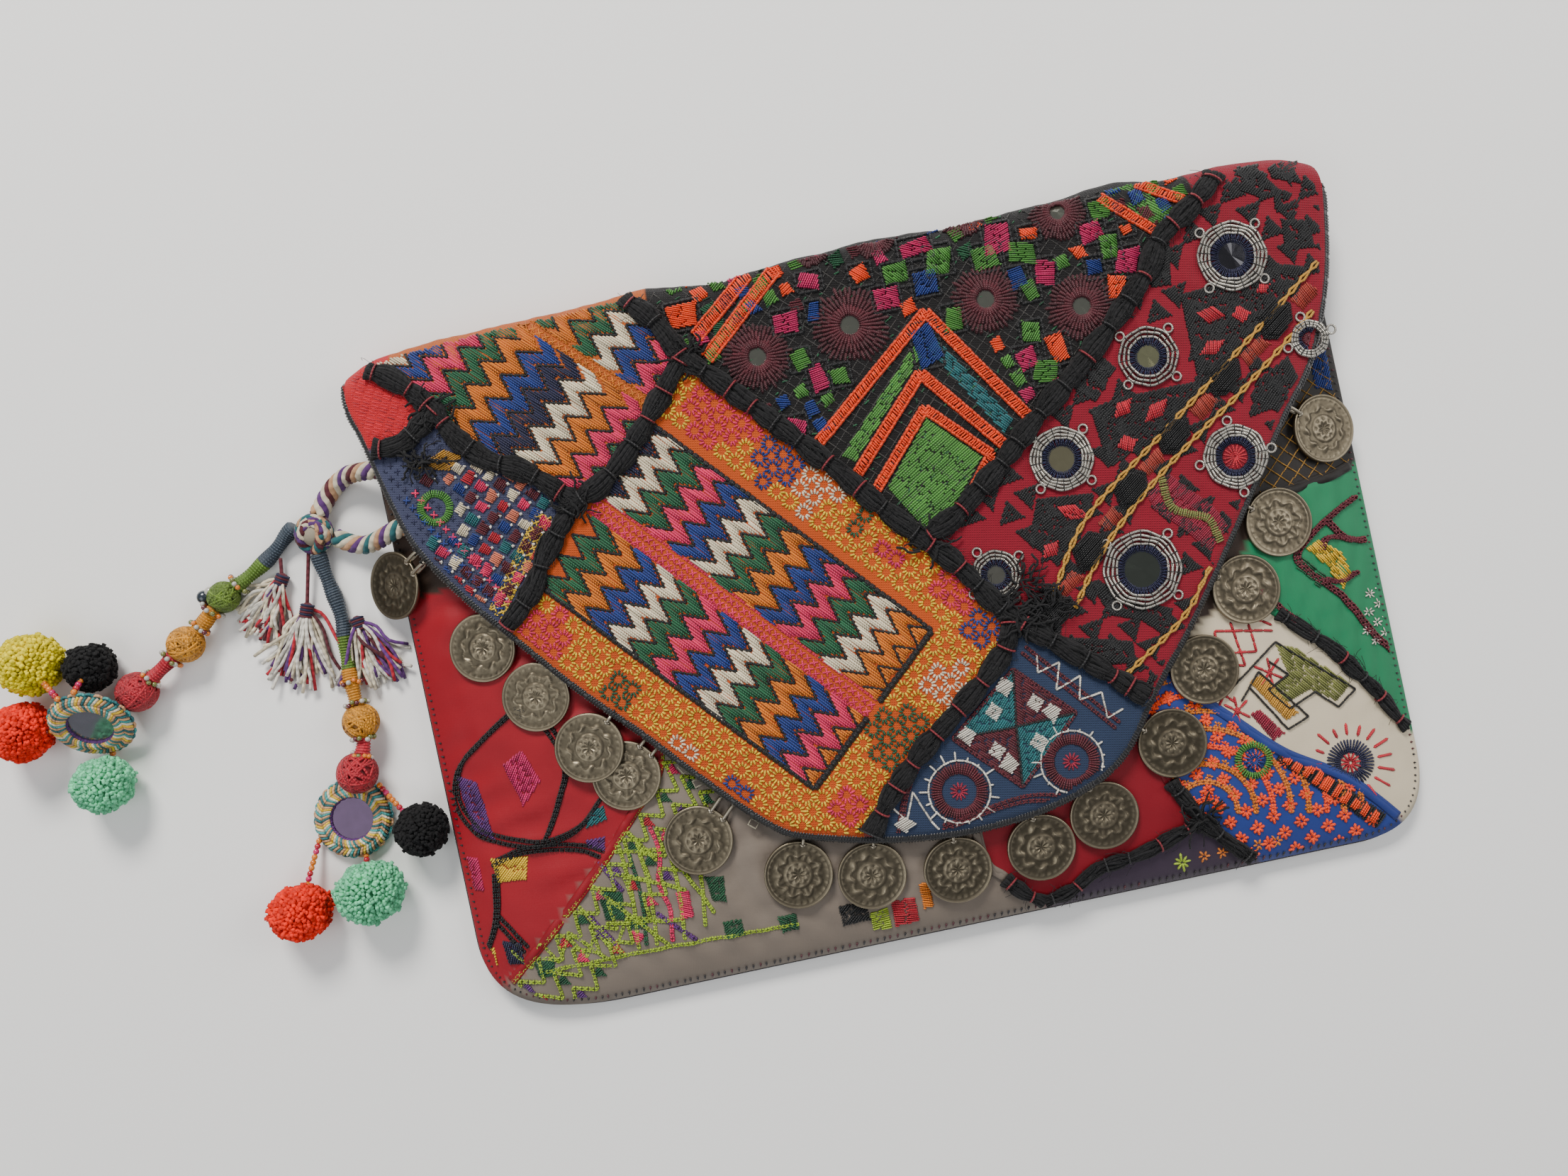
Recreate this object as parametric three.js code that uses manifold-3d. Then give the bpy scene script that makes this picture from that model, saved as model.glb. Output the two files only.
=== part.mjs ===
// An embroidered clutch lying flap side up: a cloth pouch under a patchwork flap, a fringe of worn coins
// along the flap's edge, and two charm strands tied to a twisted cord at the flap's left side.
// Millimetres. +X runs along the fold, +Y towards the fold, +Z up from the surface that it lies on.
import * as THREE from "three";
import { mergeVertices } from "three/addons/utils/BufferGeometryUtils.js";
import Module from "manifold-3d";

const wasm = await Module();
wasm.setup();

// Clearances
const touchGap = 0.35;
const coinGap = 0.5;

// Pouch
const closedDepth = 241.5;
const pouchWidth = 341;
const leftCorner = { wide: 48, high: 30 };
const rightCorner = { wide: 26, high: 30 };
const backThickness = 2.4;
const frontThickness = 1.6;
const puffHeight = 10.6;
const puffFootY = -12;
const backSetback = 22;
const mouthSetback = 25;

// Flap
const flapOverhang = 4;
const flapWidth = pouchWidth + 2 * flapOverhang;
const flapCover = 0.849;
const flapDrop = flapCover * closedDepth;
const flapThickness = 2.6;
const flapSideSink = 0.5;
const foldRise = 3.5;
const foldCornerPull = 7;
const pipingDiameter = 3.2;

// Patches and couched yarn
const patchThickness = 1;
const patchInset = 1.2;
const seamGap = 0.8;
const channelEnd = 1.2;
const flapYarn = 4.4;
const frontYarn = 3.8;

// Coins
const coinShare = 0.0574;
const coinDiameter = coinShare * Math.hypot(pouchWidth, closedDepth);
const coinThickness = 1.8;
const coinRelief = 0.3;
const coinRimWidth = 1.1;
const coinBoss = 6.4;
const bailWidth = 1.9;
const bailHeight = 2.2;
const bailWall = 0.5;
const bailSpacing = 5;

// Charms
const loopCord = 5;
const strandCord = 4.4;
const knotSize = 12;
const knobDiameter = 11;
const orangeBall = 12.6;
const redBall = 14;
const ringDiameter = 28;
const ringThickness = 4;
const ringWidth = 6.4;
const mirrorThickness = 1.2;
const beadString = 1.8;
const tasselHead = 5;
const tasselLock = 2.4;
const tasselThread = 1.6;

// Facets
const flapColumns = 14;
const flapRows = { top: 7, fold: 6, under: 1 };
const frontColumns = 12;
const frontRows = 7;
const coinSides = 12;
const ringSides = 12;
const ballSides = 8;
const edgeSteps = 44;
const yarnFine = 1.5;
const yarnStep = 24;
const yarnTurn = 0.16;

// The edge line of the flap, outside its piping, from the fold's left end round the tip to its right end.
// Columns: across is a share of the flap's width from the left, down a share of its drop from the fold.
const flapEdge = {
  across: [0, 0.001, 0.01, 0.025, 0.042, 0.078, 0.123, 0.171, 0.226, 0.277, 0.329, 0.365,
    0.449, 0.535, 0.619, 0.683, 0.732, 0.781, 0.846, 0.909, 0.951, 0.983, 0.999, 1],
  down: [0.05, 0.101, 0.152, 0.262, 0.35, 0.447, 0.541, 0.64, 0.739, 0.838, 0.929, 0.962,
    0.998, 1.01, 0.992, 0.942, 0.838, 0.739, 0.591, 0.442, 0.351, 0.225, 0.1, 0.06],
};

// Waves of the fold's outer line. Columns: across and wide are shares of the flap's width, out of its rise.
const foldWaves = [
  { across: 0.31, wide: 0.035, out: 0.4 },
  { across: 0.39, wide: 0.04, out: -0.6 },
  { across: 0.55, wide: 0.05, out: 0.25 },
  { across: 0.63, wide: 0.04, out: -0.35 },
  { across: 0.79, wide: 0.035, out: 0.6 },
  { across: 0.85, wide: 0.03, out: -0.3 },
];

// Swells of the flap's padded patches. Columns: across and down as for the edge, wide a share of the
// flap's width, high a share of the puff.
const flapSwells = [
  { across: 0.16, down: 0.2, wide: 0.06, high: 0.09 },
  { across: 0.33, down: 0.55, wide: 0.08, high: 0.1 },
  { across: 0.47, down: 0.72, wide: 0.06, high: 0.07 },
  { across: 0.58, down: 0.3, wide: 0.06, high: 0.12 },
  { across: 0.78, down: 0.33, wide: 0.06, high: 0.1 },
  { across: 0.67, down: 0.62, wide: 0.05, high: 0.08 },
];

// Lines of the yarn over the flap's patch seams, in the columns of the edge.
const flapSeams = {
  crown: {
    across: [0.01, 0.01, 0.03, 0.052, 0.075, 0.091],
    down: [-0.03, 0.012, 0.035, 0.056, 0.091, 0.129],
  },
  corner: { across: [-0.02, 0.015, 0.036, 0.06, 0.091], down: [0.164, 0.165, 0.174, 0.166, 0.129] },
  left: {
    across: [0.091, 0.109, 0.132, 0.163, 0.189, 0.209],
    down: [0.129, 0.183, 0.228, 0.255, 0.294, 0.329],
  },
  lowLeft: {
    across: [0.209, 0.189, 0.17, 0.151, 0.113, 0.09],
    down: [0.329, 0.365, 0.404, 0.456, 0.514, 0.545],
  },
  middle: { across: [0.209, 0.238, 0.271, 0.302, 0.341], down: [0.329, 0.307, 0.263, 0.206, 0.131] },
  top: { across: [0.295, 0.297, 0.32, 0.341], down: [-0.03, 0.012, 0.057, 0.131] },
  long: {
    across: [0.341, 0.375, 0.407, 0.44, 0.474, 0.502, 0.534],
    down: [0.131, 0.189, 0.252, 0.315, 0.385, 0.444, 0.51],
  },
  right: {
    across: [0.534, 0.571, 0.617, 0.669, 0.715, 0.755, 0.8, 0.822, 0.86, 0.89, 0.893],
    down: [0.51, 0.48, 0.422, 0.348, 0.287, 0.228, 0.155, 0.101, 0.056, 0.012, -0.03],
  },
  lower: { across: [0.534, 0.559, 0.577, 0.6], down: [0.51, 0.557, 0.604, 0.661] },
  lowRight: { across: [0.6, 0.634, 0.672, 0.718, 0.74], down: [0.661, 0.715, 0.772, 0.845, 0.88] },
  bottom: {
    across: [0.6, 0.591, 0.557, 0.517, 0.483, 0.45, 0.422, 0.41],
    down: [0.661, 0.713, 0.768, 0.818, 0.864, 0.918, 0.978, 1.02],
  },
};

// Round each patch of the flap: seams in order, a minus sign for one that is followed backwards, and
// corners beyond the edge as across and down.
const flapPatches = {
  corner: { round: ["crown", "-corner", [-0.1, 0.16], [-0.1, -0.1]], colour: "#c8231f" },
  chevron: { round: ["crown", "left", "middle", "-top", [0.28, -0.1], [0, -0.1]], colour: "#8a5a35" },
  lattice: { round: ["corner", "left", "lowLeft", [-0.1, 0.55], [-0.1, 0.16]], colour: "#4c4357" },
  orange: {
    round: ["middle", "long", "lower", "bottom", [0.4, 1.1], [-0.1, 1.1], [-0.1, 0.55], "-lowLeft"],
    colour: "#b5561f",
  },
  net: { round: ["-top", [0.28, -0.1], [0.92, -0.1], "-right", "-long"], colour: "#2a2320" },
  twill: {
    round: ["right", [1.1, -0.1], [1.1, 0.95], [0.75, 0.95], "-lowRight", "-lower"],
    colour: "#8e1520",
  },
  blue: { round: ["lowRight", [0.74, 1.1], [0.41, 1.1], "-bottom"], colour: "#34466b" },
};

// Lines between the patches of the front. Columns: across is a share of the pouch's width from the left,
// up a share of its depth from the bottom.
const frontSeams = {
  lime: {
    across: [0.235, 0.223, 0.191, 0.137, 0.083, 0.026, 0],
    up: [0.4, 0.32, 0.271, 0.194, 0.126, 0.061, 0.03],
  },
  dipTop: { across: [0.53, 0.53, 0.549], up: [0.26, 0.105, 0.062] },
  dip: { across: [0.549, 0.567, 0.586, 0.59], up: [0.062, 0.032, 0.013, -0.03] },
  hem: { across: [0.586, 0.615, 0.645, 0.695, 0.758], up: [0.013, 0.022, 0.048, 0.058, 0.088] },
  blueUp: { across: [0.758, 0.738, 0.733], up: [0.088, 0.139, 0.153] },
  blueTop: { across: [0.733, 0.72, 0.71], up: [0.153, 0.22, 0.28] },
  blueDown: { across: [0.758, 0.785, 0.812, 0.83], up: [0.088, 0.041, 0.004, -0.02] },
  amber: {
    across: [0.74, 0.761, 0.805, 0.853, 0.915, 0.969, 0.99],
    up: [0.31, 0.287, 0.225, 0.158, 0.099, 0.016, -0.02],
  },
  rightTop: { across: [0.84, 0.876], up: [0.41, 0.358] },
  right: {
    across: [0.876, 0.89, 0.924, 0.955, 0.985, 1.02],
    up: [0.358, 0.338, 0.292, 0.234, 0.165, 0.08],
  },
  side: { across: [0.88, 0.918, 0.943, 0.972, 1.05], up: [0.52, 0.527, 0.532, 0.537, 0.57] },
};

// The ropes of yarn, each along one seam or on through several
const flapRoped = [["crown", "left", "lowLeft"], ["corner"], ["middle"], ["top", "long", "lower", "lowRight"],
  ["right"], ["bottom"]];
const frontRoped = { low: [["dip"], ["hem", "blueDown"], ["blueUp"]], right: [["right"]] };

// Round each patch of the front, in the same way, with corners as across and up.
const frontPatches = {
  satin: { round: ["lime", [-0.05, 0.03], [-0.05, 0.64], [0.14, 0.64]], colour: "#b01420" },
  grey: { round: ["lime", [0, -0.05], [0.59, -0.05], "-dip", "-dipTop", [0.36, 0.27]], colour: "#7d7268" },
  red: { round: ["dipTop", [0.567, 0.032], "hem", "blueUp", "blueTop"], colour: "#a8121e" },
  hem: { round: ["hem", "blueDown", [0.83, -0.05], [0.59, -0.05]], colour: "#3a2c38" },
  royal: {
    round: ["amber", [0.95, -0.05], [0.83, -0.05], "-blueDown", "blueUp", "blueTop"],
    colour: "#2b3a86",
  },
  cream: { round: ["amber", [1.05, -0.02], [1.05, 0.08], "-right", "-rightTop"], colour: "#cfc4ac" },
  green: { round: ["rightTop", "right", [1.05, 0.08], "-side"], colour: "#2f8a63" },
  net: { round: ["side", [1.05, 0.78], [0.95, 0.78]], colour: "#241d1a" },
};

// The coins. Columns: across and up point from the flap's edge to where it hangs, as on the front; bails is
// their number; raise is a share of a coin's thickness; droop is how far the outer side hangs below the
// level of the pouch, in degrees; drop is how far the rim hangs clear of the piping, or under it if negative.
const coins = [
  { across: -0.005, up: 0.663, bails: 2, raise: 0.9, droop: 36, drop: 3.2 },
  { across: 0.075, up: 0.547, bails: 1, raise: 0, droop: 0, drop: -3.1 },
  { across: 0.119, up: 0.462, bails: 1, raise: 0, droop: 0, drop: -1.6 },
  { across: 0.163, up: 0.376, bails: 1, raise: 1.35, droop: 0, drop: 1.2 },
  { across: 0.193, up: 0.325, bails: 2, raise: 0, droop: 0, drop: 2.2 },
  { across: 0.251, up: 0.213, bails: 2, raise: 0, droop: 0, drop: 5.4 },
  { across: 0.343, up: 0.134, bails: 1, raise: 0, droop: 0, drop: 1.2 },
  { across: 0.416, up: 0.11, bails: 1, raise: 0, droop: 0, drop: -0.1 },
  { across: 0.503, up: 0.092, bails: 1, raise: 0, droop: 0, drop: 0.2 },
  { across: 0.591, up: 0.099, bails: 1, raise: 0, droop: 0, drop: 0 },
  { across: 0.66, up: 0.126, bails: 1, raise: 0, droop: 0, drop: -0.9 },
  { across: 0.742, up: 0.208, bails: 1, raise: 0, droop: 0, drop: 0.4 },
  { across: 0.789, up: 0.302, bails: 1, raise: 0, droop: 0, drop: -0.1 },
  { across: 0.848, up: 0.402, bails: 1, raise: 0, droop: 0, drop: 0 },
  { across: 0.896, up: 0.486, bails: 1, raise: 0, droop: 0, drop: 1.2 },
  { across: 0.966, up: 0.605, bails: 1, raise: 0, droop: 0, drop: 3.4 },
];

// Routes of the free cords as they lie beside the pouch, each from where it leaves to where it ends
const cordRoutes = {
  upper: [[-165.5, 80, 12.1], [-170, 80.3, 11.6], [-173.6, 80.8, 10.2], [-177, 81.2, 8.4], [-180.6, 81.4, 6.5],
    [-184.4, 80.3, 4.9], [-188, 78.3, 3.9], [-190.8, 75.8, 3.5], [-193, 73, 3.8], [-195, 69.8, 4.6]],
  lower: [[-160.5, 59.6, 12.7], [-165, 58.6, 12.3], [-169.2, 57.6, 11], [-173, 56.7, 9.1], [-177, 56, 6.9],
    [-181, 56, 5], [-184.8, 57.2, 3.9], [-187.6, 58.8, 3.8], [-190.6, 60.8, 4.2]],
  left: [[-204.6, 67.4, 4.4], [-208.3, 65.1, 3.4], [-212.7, 61.5, 2.8], [-217.4, 58, 2.8], [-222, 55, 3.4],
    [-228, 51.4, 4.8], [-233.9, 47.9, 5.9], [-238, 44.4, 6.2], [-241.8, 40.9, 6.3], [-246.6, 37, 6.5],
    [-251.3, 33.4, 6.7], [-256, 30.2, 6.9], [-260.6, 27.3, 7.1], [-265.3, 24.3, 7.4], [-269.9, 21.4, 7.7],
    [-273.4, 19.2, 8]],
  right: [[-198, 56.5, 4.5], [-197.6, 50, 3.2], [-196.6, 43.5, 2.7], [-195.6, 37.5, 2.7], [-195.2, 31.3, 2.7],
    [-195.4, 25.5, 2.8], [-195.9, 19, 3.1], [-196, 12.5, 3.9], [-195.6, 6, 5.1], [-195, 0, 6.2],
    [-194.6, -6, 6.8], [-194.6, -11, 7.4], [-195.5, -15.2, 8.2], [-197, -19, 9], [-198.6, -22.7, 9.6],
    [-200.2, -26.4, 10.2]],
};
const charmKnotPlace = [-197.6, 63.6, 5.2];

// Thread balls on the strands. Columns: on names the strand, along is the share of its route.
const balls = [
  { name: "left_knob", on: "left", along: 0.415, diameter: knobDiameter, colour: "#7c8c2a" },
  { name: "left_ball_orange", on: "left", along: 0.665, diameter: orangeBall, colour: "#e08a12" },
  { name: "left_ball_red", on: "left", along: 0.948, diameter: redBall, colour: "#b51d26" },
  { name: "right_ball_orange", on: "right", along: 0.735, diameter: orangeBall, colour: "#e08a12" },
  { name: "right_ball_red", on: "right", along: 0.95, diameter: redBall, colour: "#b51d26" },
];

// The crochet rings: place of the centre and slope up towards the fold, in degrees
const rings = [
  { name: "left_ring", place: [-285.7, 13.8, 10.9], slope: 38 },
  { name: "right_ring", place: [-205.9, -38.6, 2.4], slope: 0 },
];

// Yarn pompoms: place of the centre, size, and where each one's bead string meets its ring or ball
const pompoms = [
  {
    name: "left_pompom_yellow", place: [-302.4, 38.6, 11.3], diameter: 22, stretch: 1,
    tie: [-290.6, 24.5, 19.2], colour: "#c9bd0c",
  },
  {
    name: "left_pompom_orange", place: [-310.4, 16, 10.9], diameter: 21, stretch: 1,
    tie: [-299.9, 14.2, 11.2], colour: "#f2420c",
  },
  {
    name: "left_pompom_black", place: [-283.4, 33.2, 8.9], diameter: 17, stretch: 1,
    tie: [-284.3, 25.7, 19.8], colour: "#0c0b0c",
  },
  {
    name: "left_pompom_mint", place: [-286.6, -8, 10.4], diameter: 19.6, stretch: 1.08,
    tie: [-285.9, 1.9, 2], colour: "#8fd8ae",
  },
  {
    name: "right_pompom_black", place: [-180.6, -46.8, 9.6], diameter: 18.6, stretch: 1,
    tie: [-194.3, -29.1, 2.6], colour: "#0c0b0c",
  },
  {
    name: "right_pompom_mint", place: [-202.4, -64.4, 11.3], diameter: 22, stretch: 1.12,
    tie: [-204.2, -52.7, 2.5], colour: "#8fd8ae",
  },
  {
    name: "right_pompom_orange", place: [-228, -66.4, 10.3], diameter: 19.6, stretch: 1.15,
    tie: [-219.7, -44.1, 2.6], colour: "#f2420c",
  },
];

// Cut tassels tied below the knot: place of the head, way the locks lie in degrees, their length and
// number, the angle that they fan over, and where the head's thread is tied
const tassels = [
  {
    name: "tassel_left", place: [-213, 50.6, 3],
    way: 237, length: 21, locks: 4, fan: 34, tie: [-212.2, 57.9, 2.6],
  },
  {
    name: "tassel_middle", place: [-206.4, 38.4, 3],
    way: 248, length: 27, locks: 4, fan: 30, tie: [-201.3, 57.8, 4.2],
  },
  {
    name: "tassel_right", place: [-189.6, 30, 3],
    way: 278, length: 23, locks: 5, fan: 26, tie: [-192.5, 30.6, 3],
  },
];

const foldY = closedDepth / 2;
const bottomY = -closedDepth / 2;
const halfPouch = pouchWidth / 2;
const halfFlap = flapWidth / 2;
const mouthY = foldY - mouthSetback;
const backEndY = foldY - backSetback;
const frontLow = backThickness + touchGap;
const frontPatchLow = frontThickness + touchGap;
const coinLow = frontPatchLow + patchThickness + coinGap;
const flapLow = frontLow + coinLow + coinThickness + coinGap;
const flapPatchLow = flapThickness + touchGap;
const prismReach = 60;
const pipingRadius = pipingDiameter / 2;
const coinRadius = coinDiameter / 2;

// Turn a closed geometry into a solid that can be joined and cut, and back
function solid(geometry) {
  const bare = geometry.clone();
  bare.deleteAttribute("normal");
  bare.deleteAttribute("uv");
  const merged = mergeVertices(bare, 1e-3);
  const vertProperties = new Float32Array(merged.attributes.position.array);
  const triVerts = new Uint32Array(merged.index.array);
  return new wasm.Manifold(new wasm.Mesh({ numProp: 3, vertProperties, triVerts }));
}

function geometryOf(body) {
  const mesh = body.getMesh();
  const geometry = new THREE.BufferGeometry();
  geometry.setAttribute("position", new THREE.BufferAttribute(mesh.vertProperties, 3));
  geometry.setIndex(new THREE.BufferAttribute(mesh.triVerts, 1));
  return geometry;
}

function joined(geometries) {
  return geometries.map(solid).reduce((body, next) => body.add(next));
}

// A slab of columns by rows cells whose corners are placed by a rule of across, along and up, 0 to 1 each.
// Its under side is split along the same diagonals as its upper side, so that stacked layers keep their gap.
function slab(columns, rows, rule) {
  const box = new THREE.BoxGeometry(1, 1, 1, columns, rows, 1);
  const under = box.groups.at(-1);
  for (let i = under.start; i < under.start + under.count; i += 6) {
    const [a, b, d, , c] = box.index.array.slice(i, i + 6);
    box.index.array.set([a, b, c, a, c, d], i);
  }
  const corners = box.attributes.position;
  for (let i = 0; i < corners.count; i += 1) {
    const place = rule(corners.getX(i) + 0.5, corners.getY(i) + 0.5, corners.getZ(i) + 0.5);
    corners.setXYZ(i, place.x, place.y, place.z);
  }
  return box;
}

// A tall upright prism over a plan outline
function prism(outline) {
  const shape = outline instanceof THREE.Shape ? outline : new THREE.Shape(outline);
  const settings = { depth: 2 * prismReach, bevelEnabled: false, curveSegments: 6 };
  return solid(new THREE.ExtrudeGeometry(shape, settings).translate(0, 0, -prismReach));
}

function circle(radius, sides) {
  const turn = (side) => (2 * Math.PI * side) / sides;
  const corner = (side) => new THREE.Vector2(radius * Math.cos(turn(side)), radius * Math.sin(turn(side)));
  return new THREE.Shape(Array.from({ length: sides }, (none, side) => corner(side)));
}

// A round cord with a ring of its corners at each of the places
function tube(places, diameter, sides) {
  const extrudePath = new THREE.CatmullRomCurve3(places, false, "centripetal");
  extrudePath.getUtoTmapping = (share) => share;
  const settings = { steps: places.length - 1, extrudePath, bevelEnabled: false };
  return new THREE.ExtrudeGeometry(circle(diameter / 2, sides), settings);
}

function smooth(places, count) {
  return new THREE.CatmullRomCurve3(places, false, "centripetal").getSpacedPoints(count);
}

// Keep the places that a line needs: where it has turned or gone a full step since the last one kept
function thinned(line, least, most, turn) {
  const kept = [line[0]];
  for (let i = 1; i < line.length - 1; i += 1) {
    const since = new THREE.Vector3().subVectors(line[i], kept.at(-1));
    const ahead = new THREE.Vector3().subVectors(line[i + 1], line[i]);
    const near = line[i].distanceTo(line.at(-1)) < least;
    if (!near && (since.length() > most || (since.length() > least && since.angleTo(ahead) > turn))) {
      kept.push(line[i]);
    }
  }
  return [...kept, line.at(-1)];
}

// Move a plan line sideways, to the left of the way it runs
function shifted(line, distance) {
  return line.map((place, i) => {
    const before = line[Math.max(i - 1, 0)];
    const after = line[Math.min(i + 1, line.length - 1)];
    const way = new THREE.Vector3().subVectors(after, before).setZ(0).normalize();
    return new THREE.Vector3(place.x - way.y * distance, place.y + way.x * distance, place.z);
  });
}

function band(line, width) {
  return prism([...shifted(line, width / 2), ...shifted(line, -width / 2).reverse()]);
}

// How far the front stands off the back at a plan place: sewn down at the sides and the bottom
function slopeToBottom(y) {
  const drop = THREE.MathUtils.clamp((puffFootY - y) / (puffFootY - bottomY), 0, 1);
  return (1 - drop ** 5) ** 0.8;
}

function puff(x, y) {
  const side = Math.min(Math.abs(x) / halfPouch, 1);
  return puffHeight * (1 - side ** 6) ** 0.8 * slopeToBottom(y);
}

// How far the flap is carried up at a plan place: by the puffed front, less at its free sides
function foldLift(x) {
  const side = Math.min(Math.abs(x) / halfFlap, 1);
  return puffHeight * (1 - flapSideSink * side ** 5);
}

function flapLift(x, y) {
  const swell = flapSwells.reduce((sum, bump) => {
    const away = Math.hypot(x - flapX(bump.across), y - flapY(bump.down)) / (bump.wide * flapWidth);
    return sum + bump.high * puffHeight * Math.exp(-away * away);
  }, 0);
  return foldLift(x) * slopeToBottom(y) + swell;
}

function flapX(across) {
  return (across - 0.5) * flapWidth;
}

function flapY(down) {
  return foldY - down * flapDrop;
}

// The fold seen from its end: an arc from the flap's top round to its under side
function fold(x) {
  const radius = (flapLow + foldLift(x)) / 2;
  const side = Math.min(Math.abs(x) / halfFlap, 1);
  const wave = foldWaves.reduce((sum, bump) => {
    const away = (x - flapX(bump.across)) / (bump.wide * flapWidth);
    return sum + bump.out * foldRise * Math.exp(-away * away);
  }, 0);
  const outline = foldY + foldRise * (x / flapWidth) + wave - foldCornerPull * side ** 16;
  return { radius, centreY: outline - radius - flapThickness / 2, centreZ: radius + flapThickness / 2 };
}

function foldReach(x, height) {
  return fold(x).radius - flapThickness / 2 + height;
}

// A place on the flap's layers, from the row along the sheet (the tip's is 0) and the height above the
// flap's inner side
function flapSheet(across, row, height) {
  const x = flapX(across);
  const turn = fold(x);
  const reach = foldReach(x, height);
  if (row <= flapRows.top) {
    const y = THREE.MathUtils.lerp(flapY(1.03), turn.centreY, row / flapRows.top);
    return new THREE.Vector3(x, y, flapLow + flapLift(x, y) + height);
  }
  const share = (row - flapRows.top) / flapRows.fold;
  if (share <= 1) {
    const angle = Math.PI * (0.5 - share);
    const out = reach * Math.cos(angle);
    return new THREE.Vector3(x, turn.centreY + out, turn.centreZ + reach * Math.sin(angle));
  }
  const y = THREE.MathUtils.lerp(turn.centreY, backEndY + touchGap, row - flapRows.top - flapRows.fold);
  return new THREE.Vector3(x, y, flapThickness - height);
}

// The same from a plan place: what lies beyond the fold's line stays on its outermost side
function overFlap(x, y, height) {
  const turn = fold(x);
  const reach = foldReach(x, height);
  if (y <= turn.centreY) {
    return new THREE.Vector3(x, y, flapLow + flapLift(x, y) + height);
  }
  const out = Math.min(y - turn.centreY, reach);
  return new THREE.Vector3(x, turn.centreY + out, turn.centreZ + Math.sqrt(reach * reach - out * out));
}

function overFront(x, y, height) {
  return new THREE.Vector3(x, y, frontLow + puff(x, y) + height);
}

// Plan lines from the tables
function flapLine(table) {
  return table.across.map((across, i) => new THREE.Vector3(flapX(across), flapY(table.down[i]), 0));
}

function frontX(across) {
  return (across - 0.5) * pouchWidth;
}

function frontY(up) {
  return bottomY + up * closedDepth;
}

function frontLine(table) {
  return table.across.map((across, i) => new THREE.Vector3(frontX(across), frontY(table.up[i]), 0));
}

const drawn = (tables, line) => Object.fromEntries(Object.entries(tables)
  .map(([name, table]) => [name, smooth(line(table), table.across.length + 1)]));
const flapLines = drawn(flapSeams, flapLine);
const frontLines = drawn(frontSeams, frontLine);
const flapRopeHeight = flapPatchLow + touchGap + flapYarn / 2;
const frontRopeHeight = frontPatchLow + touchGap + frontYarn / 2;
const through = (names, tables, line) => (
  names.flatMap((name, i) => line(tables[name]).slice(i === 0 ? 0 : 1))
);
const flapRopes = flapRoped.map((names) => (
  ropeAlong(through(names, flapSeams, flapLine), (x, y) => overFlap(x, y, flapRopeHeight), flapYarn)
));
const frontRope = (names) => (
  ropeAlong(through(names, frontSeams, frontLine), (x, y) => overFront(x, y, frontRopeHeight), frontYarn)
);
const frontRopes = Object.fromEntries(Object.entries(frontRoped)
  .map(([rope, chains]) => [rope, chains.map(frontRope)]));

// The outline round a patch: its seams and its corners
function patchOutline(round, lines, corner) {
  return round.flatMap((part) => {
    if (Array.isArray(part)) {
      return [corner(part[0], part[1])];
    }
    const line = [...lines[part.replace("-", "")]];
    return part.startsWith("-") ? line.reverse() : line;
  }).filter((place, i, all) => i === 0 || place.distanceTo(all[i - 1]) > 0.01);
}

const group = new THREE.Group();
const clutch = new THREE.Group();
const charms = new THREE.Group();
group.add(clutch, charms);

function piece(name, shape, finish, parent = clutch) {
  const geometry = shape.isBufferGeometry ? shape : geometryOf(shape);
  const mesh = new THREE.Mesh(geometry, new THREE.MeshStandardMaterial(finish));
  mesh.name = name;
  parent.add(mesh);
  return mesh;
}

function cloth(color) {
  return { color, roughness: 0.9, metalness: 0 };
}

// The pouch's outline from the bottom up to a line short of the fold
function pouchOutline(topY, inset) {
  const side = halfPouch - inset;
  const low = bottomY + inset;
  const shape = new THREE.Shape();
  shape.moveTo(-side, topY);
  shape.lineTo(-side, low + leftCorner.high);
  shape.quadraticCurveTo(-side, low, -side + leftCorner.wide, low);
  shape.lineTo(side - rightCorner.wide, low);
  shape.quadraticCurveTo(side, low, side, low + rightCorner.high);
  shape.lineTo(side, topY);
  shape.closePath();
  return shape;
}

function backPanel() {
  const settings = { depth: backThickness, bevelEnabled: false, curveSegments: 6 };
  return new THREE.ExtrudeGeometry(pouchOutline(backEndY, 0), settings);
}

// A layer of the front: columns and rows crowd towards the sewn sides
function frontLayer(low, thickness) {
  return solid(slab(frontColumns, frontRows, (across, along, up) => {
    const x = Math.sin(Math.PI * (across - 0.5)) * halfPouch;
    const y = bottomY + (mouthY - bottomY) * (1 - Math.cos((along * Math.PI) / 2));
    return overFront(x, y, low + up * thickness);
  }));
}

function frontPanel() {
  return frontLayer(0, frontThickness).intersect(prism(pouchOutline(mouthY + 1, 0)));
}

// The flap's layers, and its plan inside the piping
const edgeLine = smooth(flapLine(flapEdge), edgeSteps);
const pipingLine = shifted(edgeLine, pipingRadius);
const beyondFold = foldY + mouthSetback;

function flapPlan(inset) {
  const line = shifted(edgeLine, inset);
  const first = new THREE.Vector3(line[0].x, beyondFold, 0);
  const last = new THREE.Vector3(line.at(-1).x, beyondFold, 0);
  return prism([first, ...line, last]);
}

function flap() {
  const rows = flapRows.top + flapRows.fold + flapRows.under;
  const sheet = slab(flapColumns, rows, (across, along, up) => (
    flapSheet(across, along * rows, up * flapThickness)
  ));
  return solid(sheet).intersect(flapPlan(pipingDiameter + touchGap));
}

function patchLayer() {
  const rows = flapRows.top + flapRows.fold / 2;
  const layer = slab(flapColumns, rows, (across, along, up) => (
    flapSheet(across, along * rows, flapPatchLow + up * patchThickness)
  ));
  return solid(layer).intersect(flapPlan(pipingDiameter + touchGap + patchInset));
}

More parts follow.
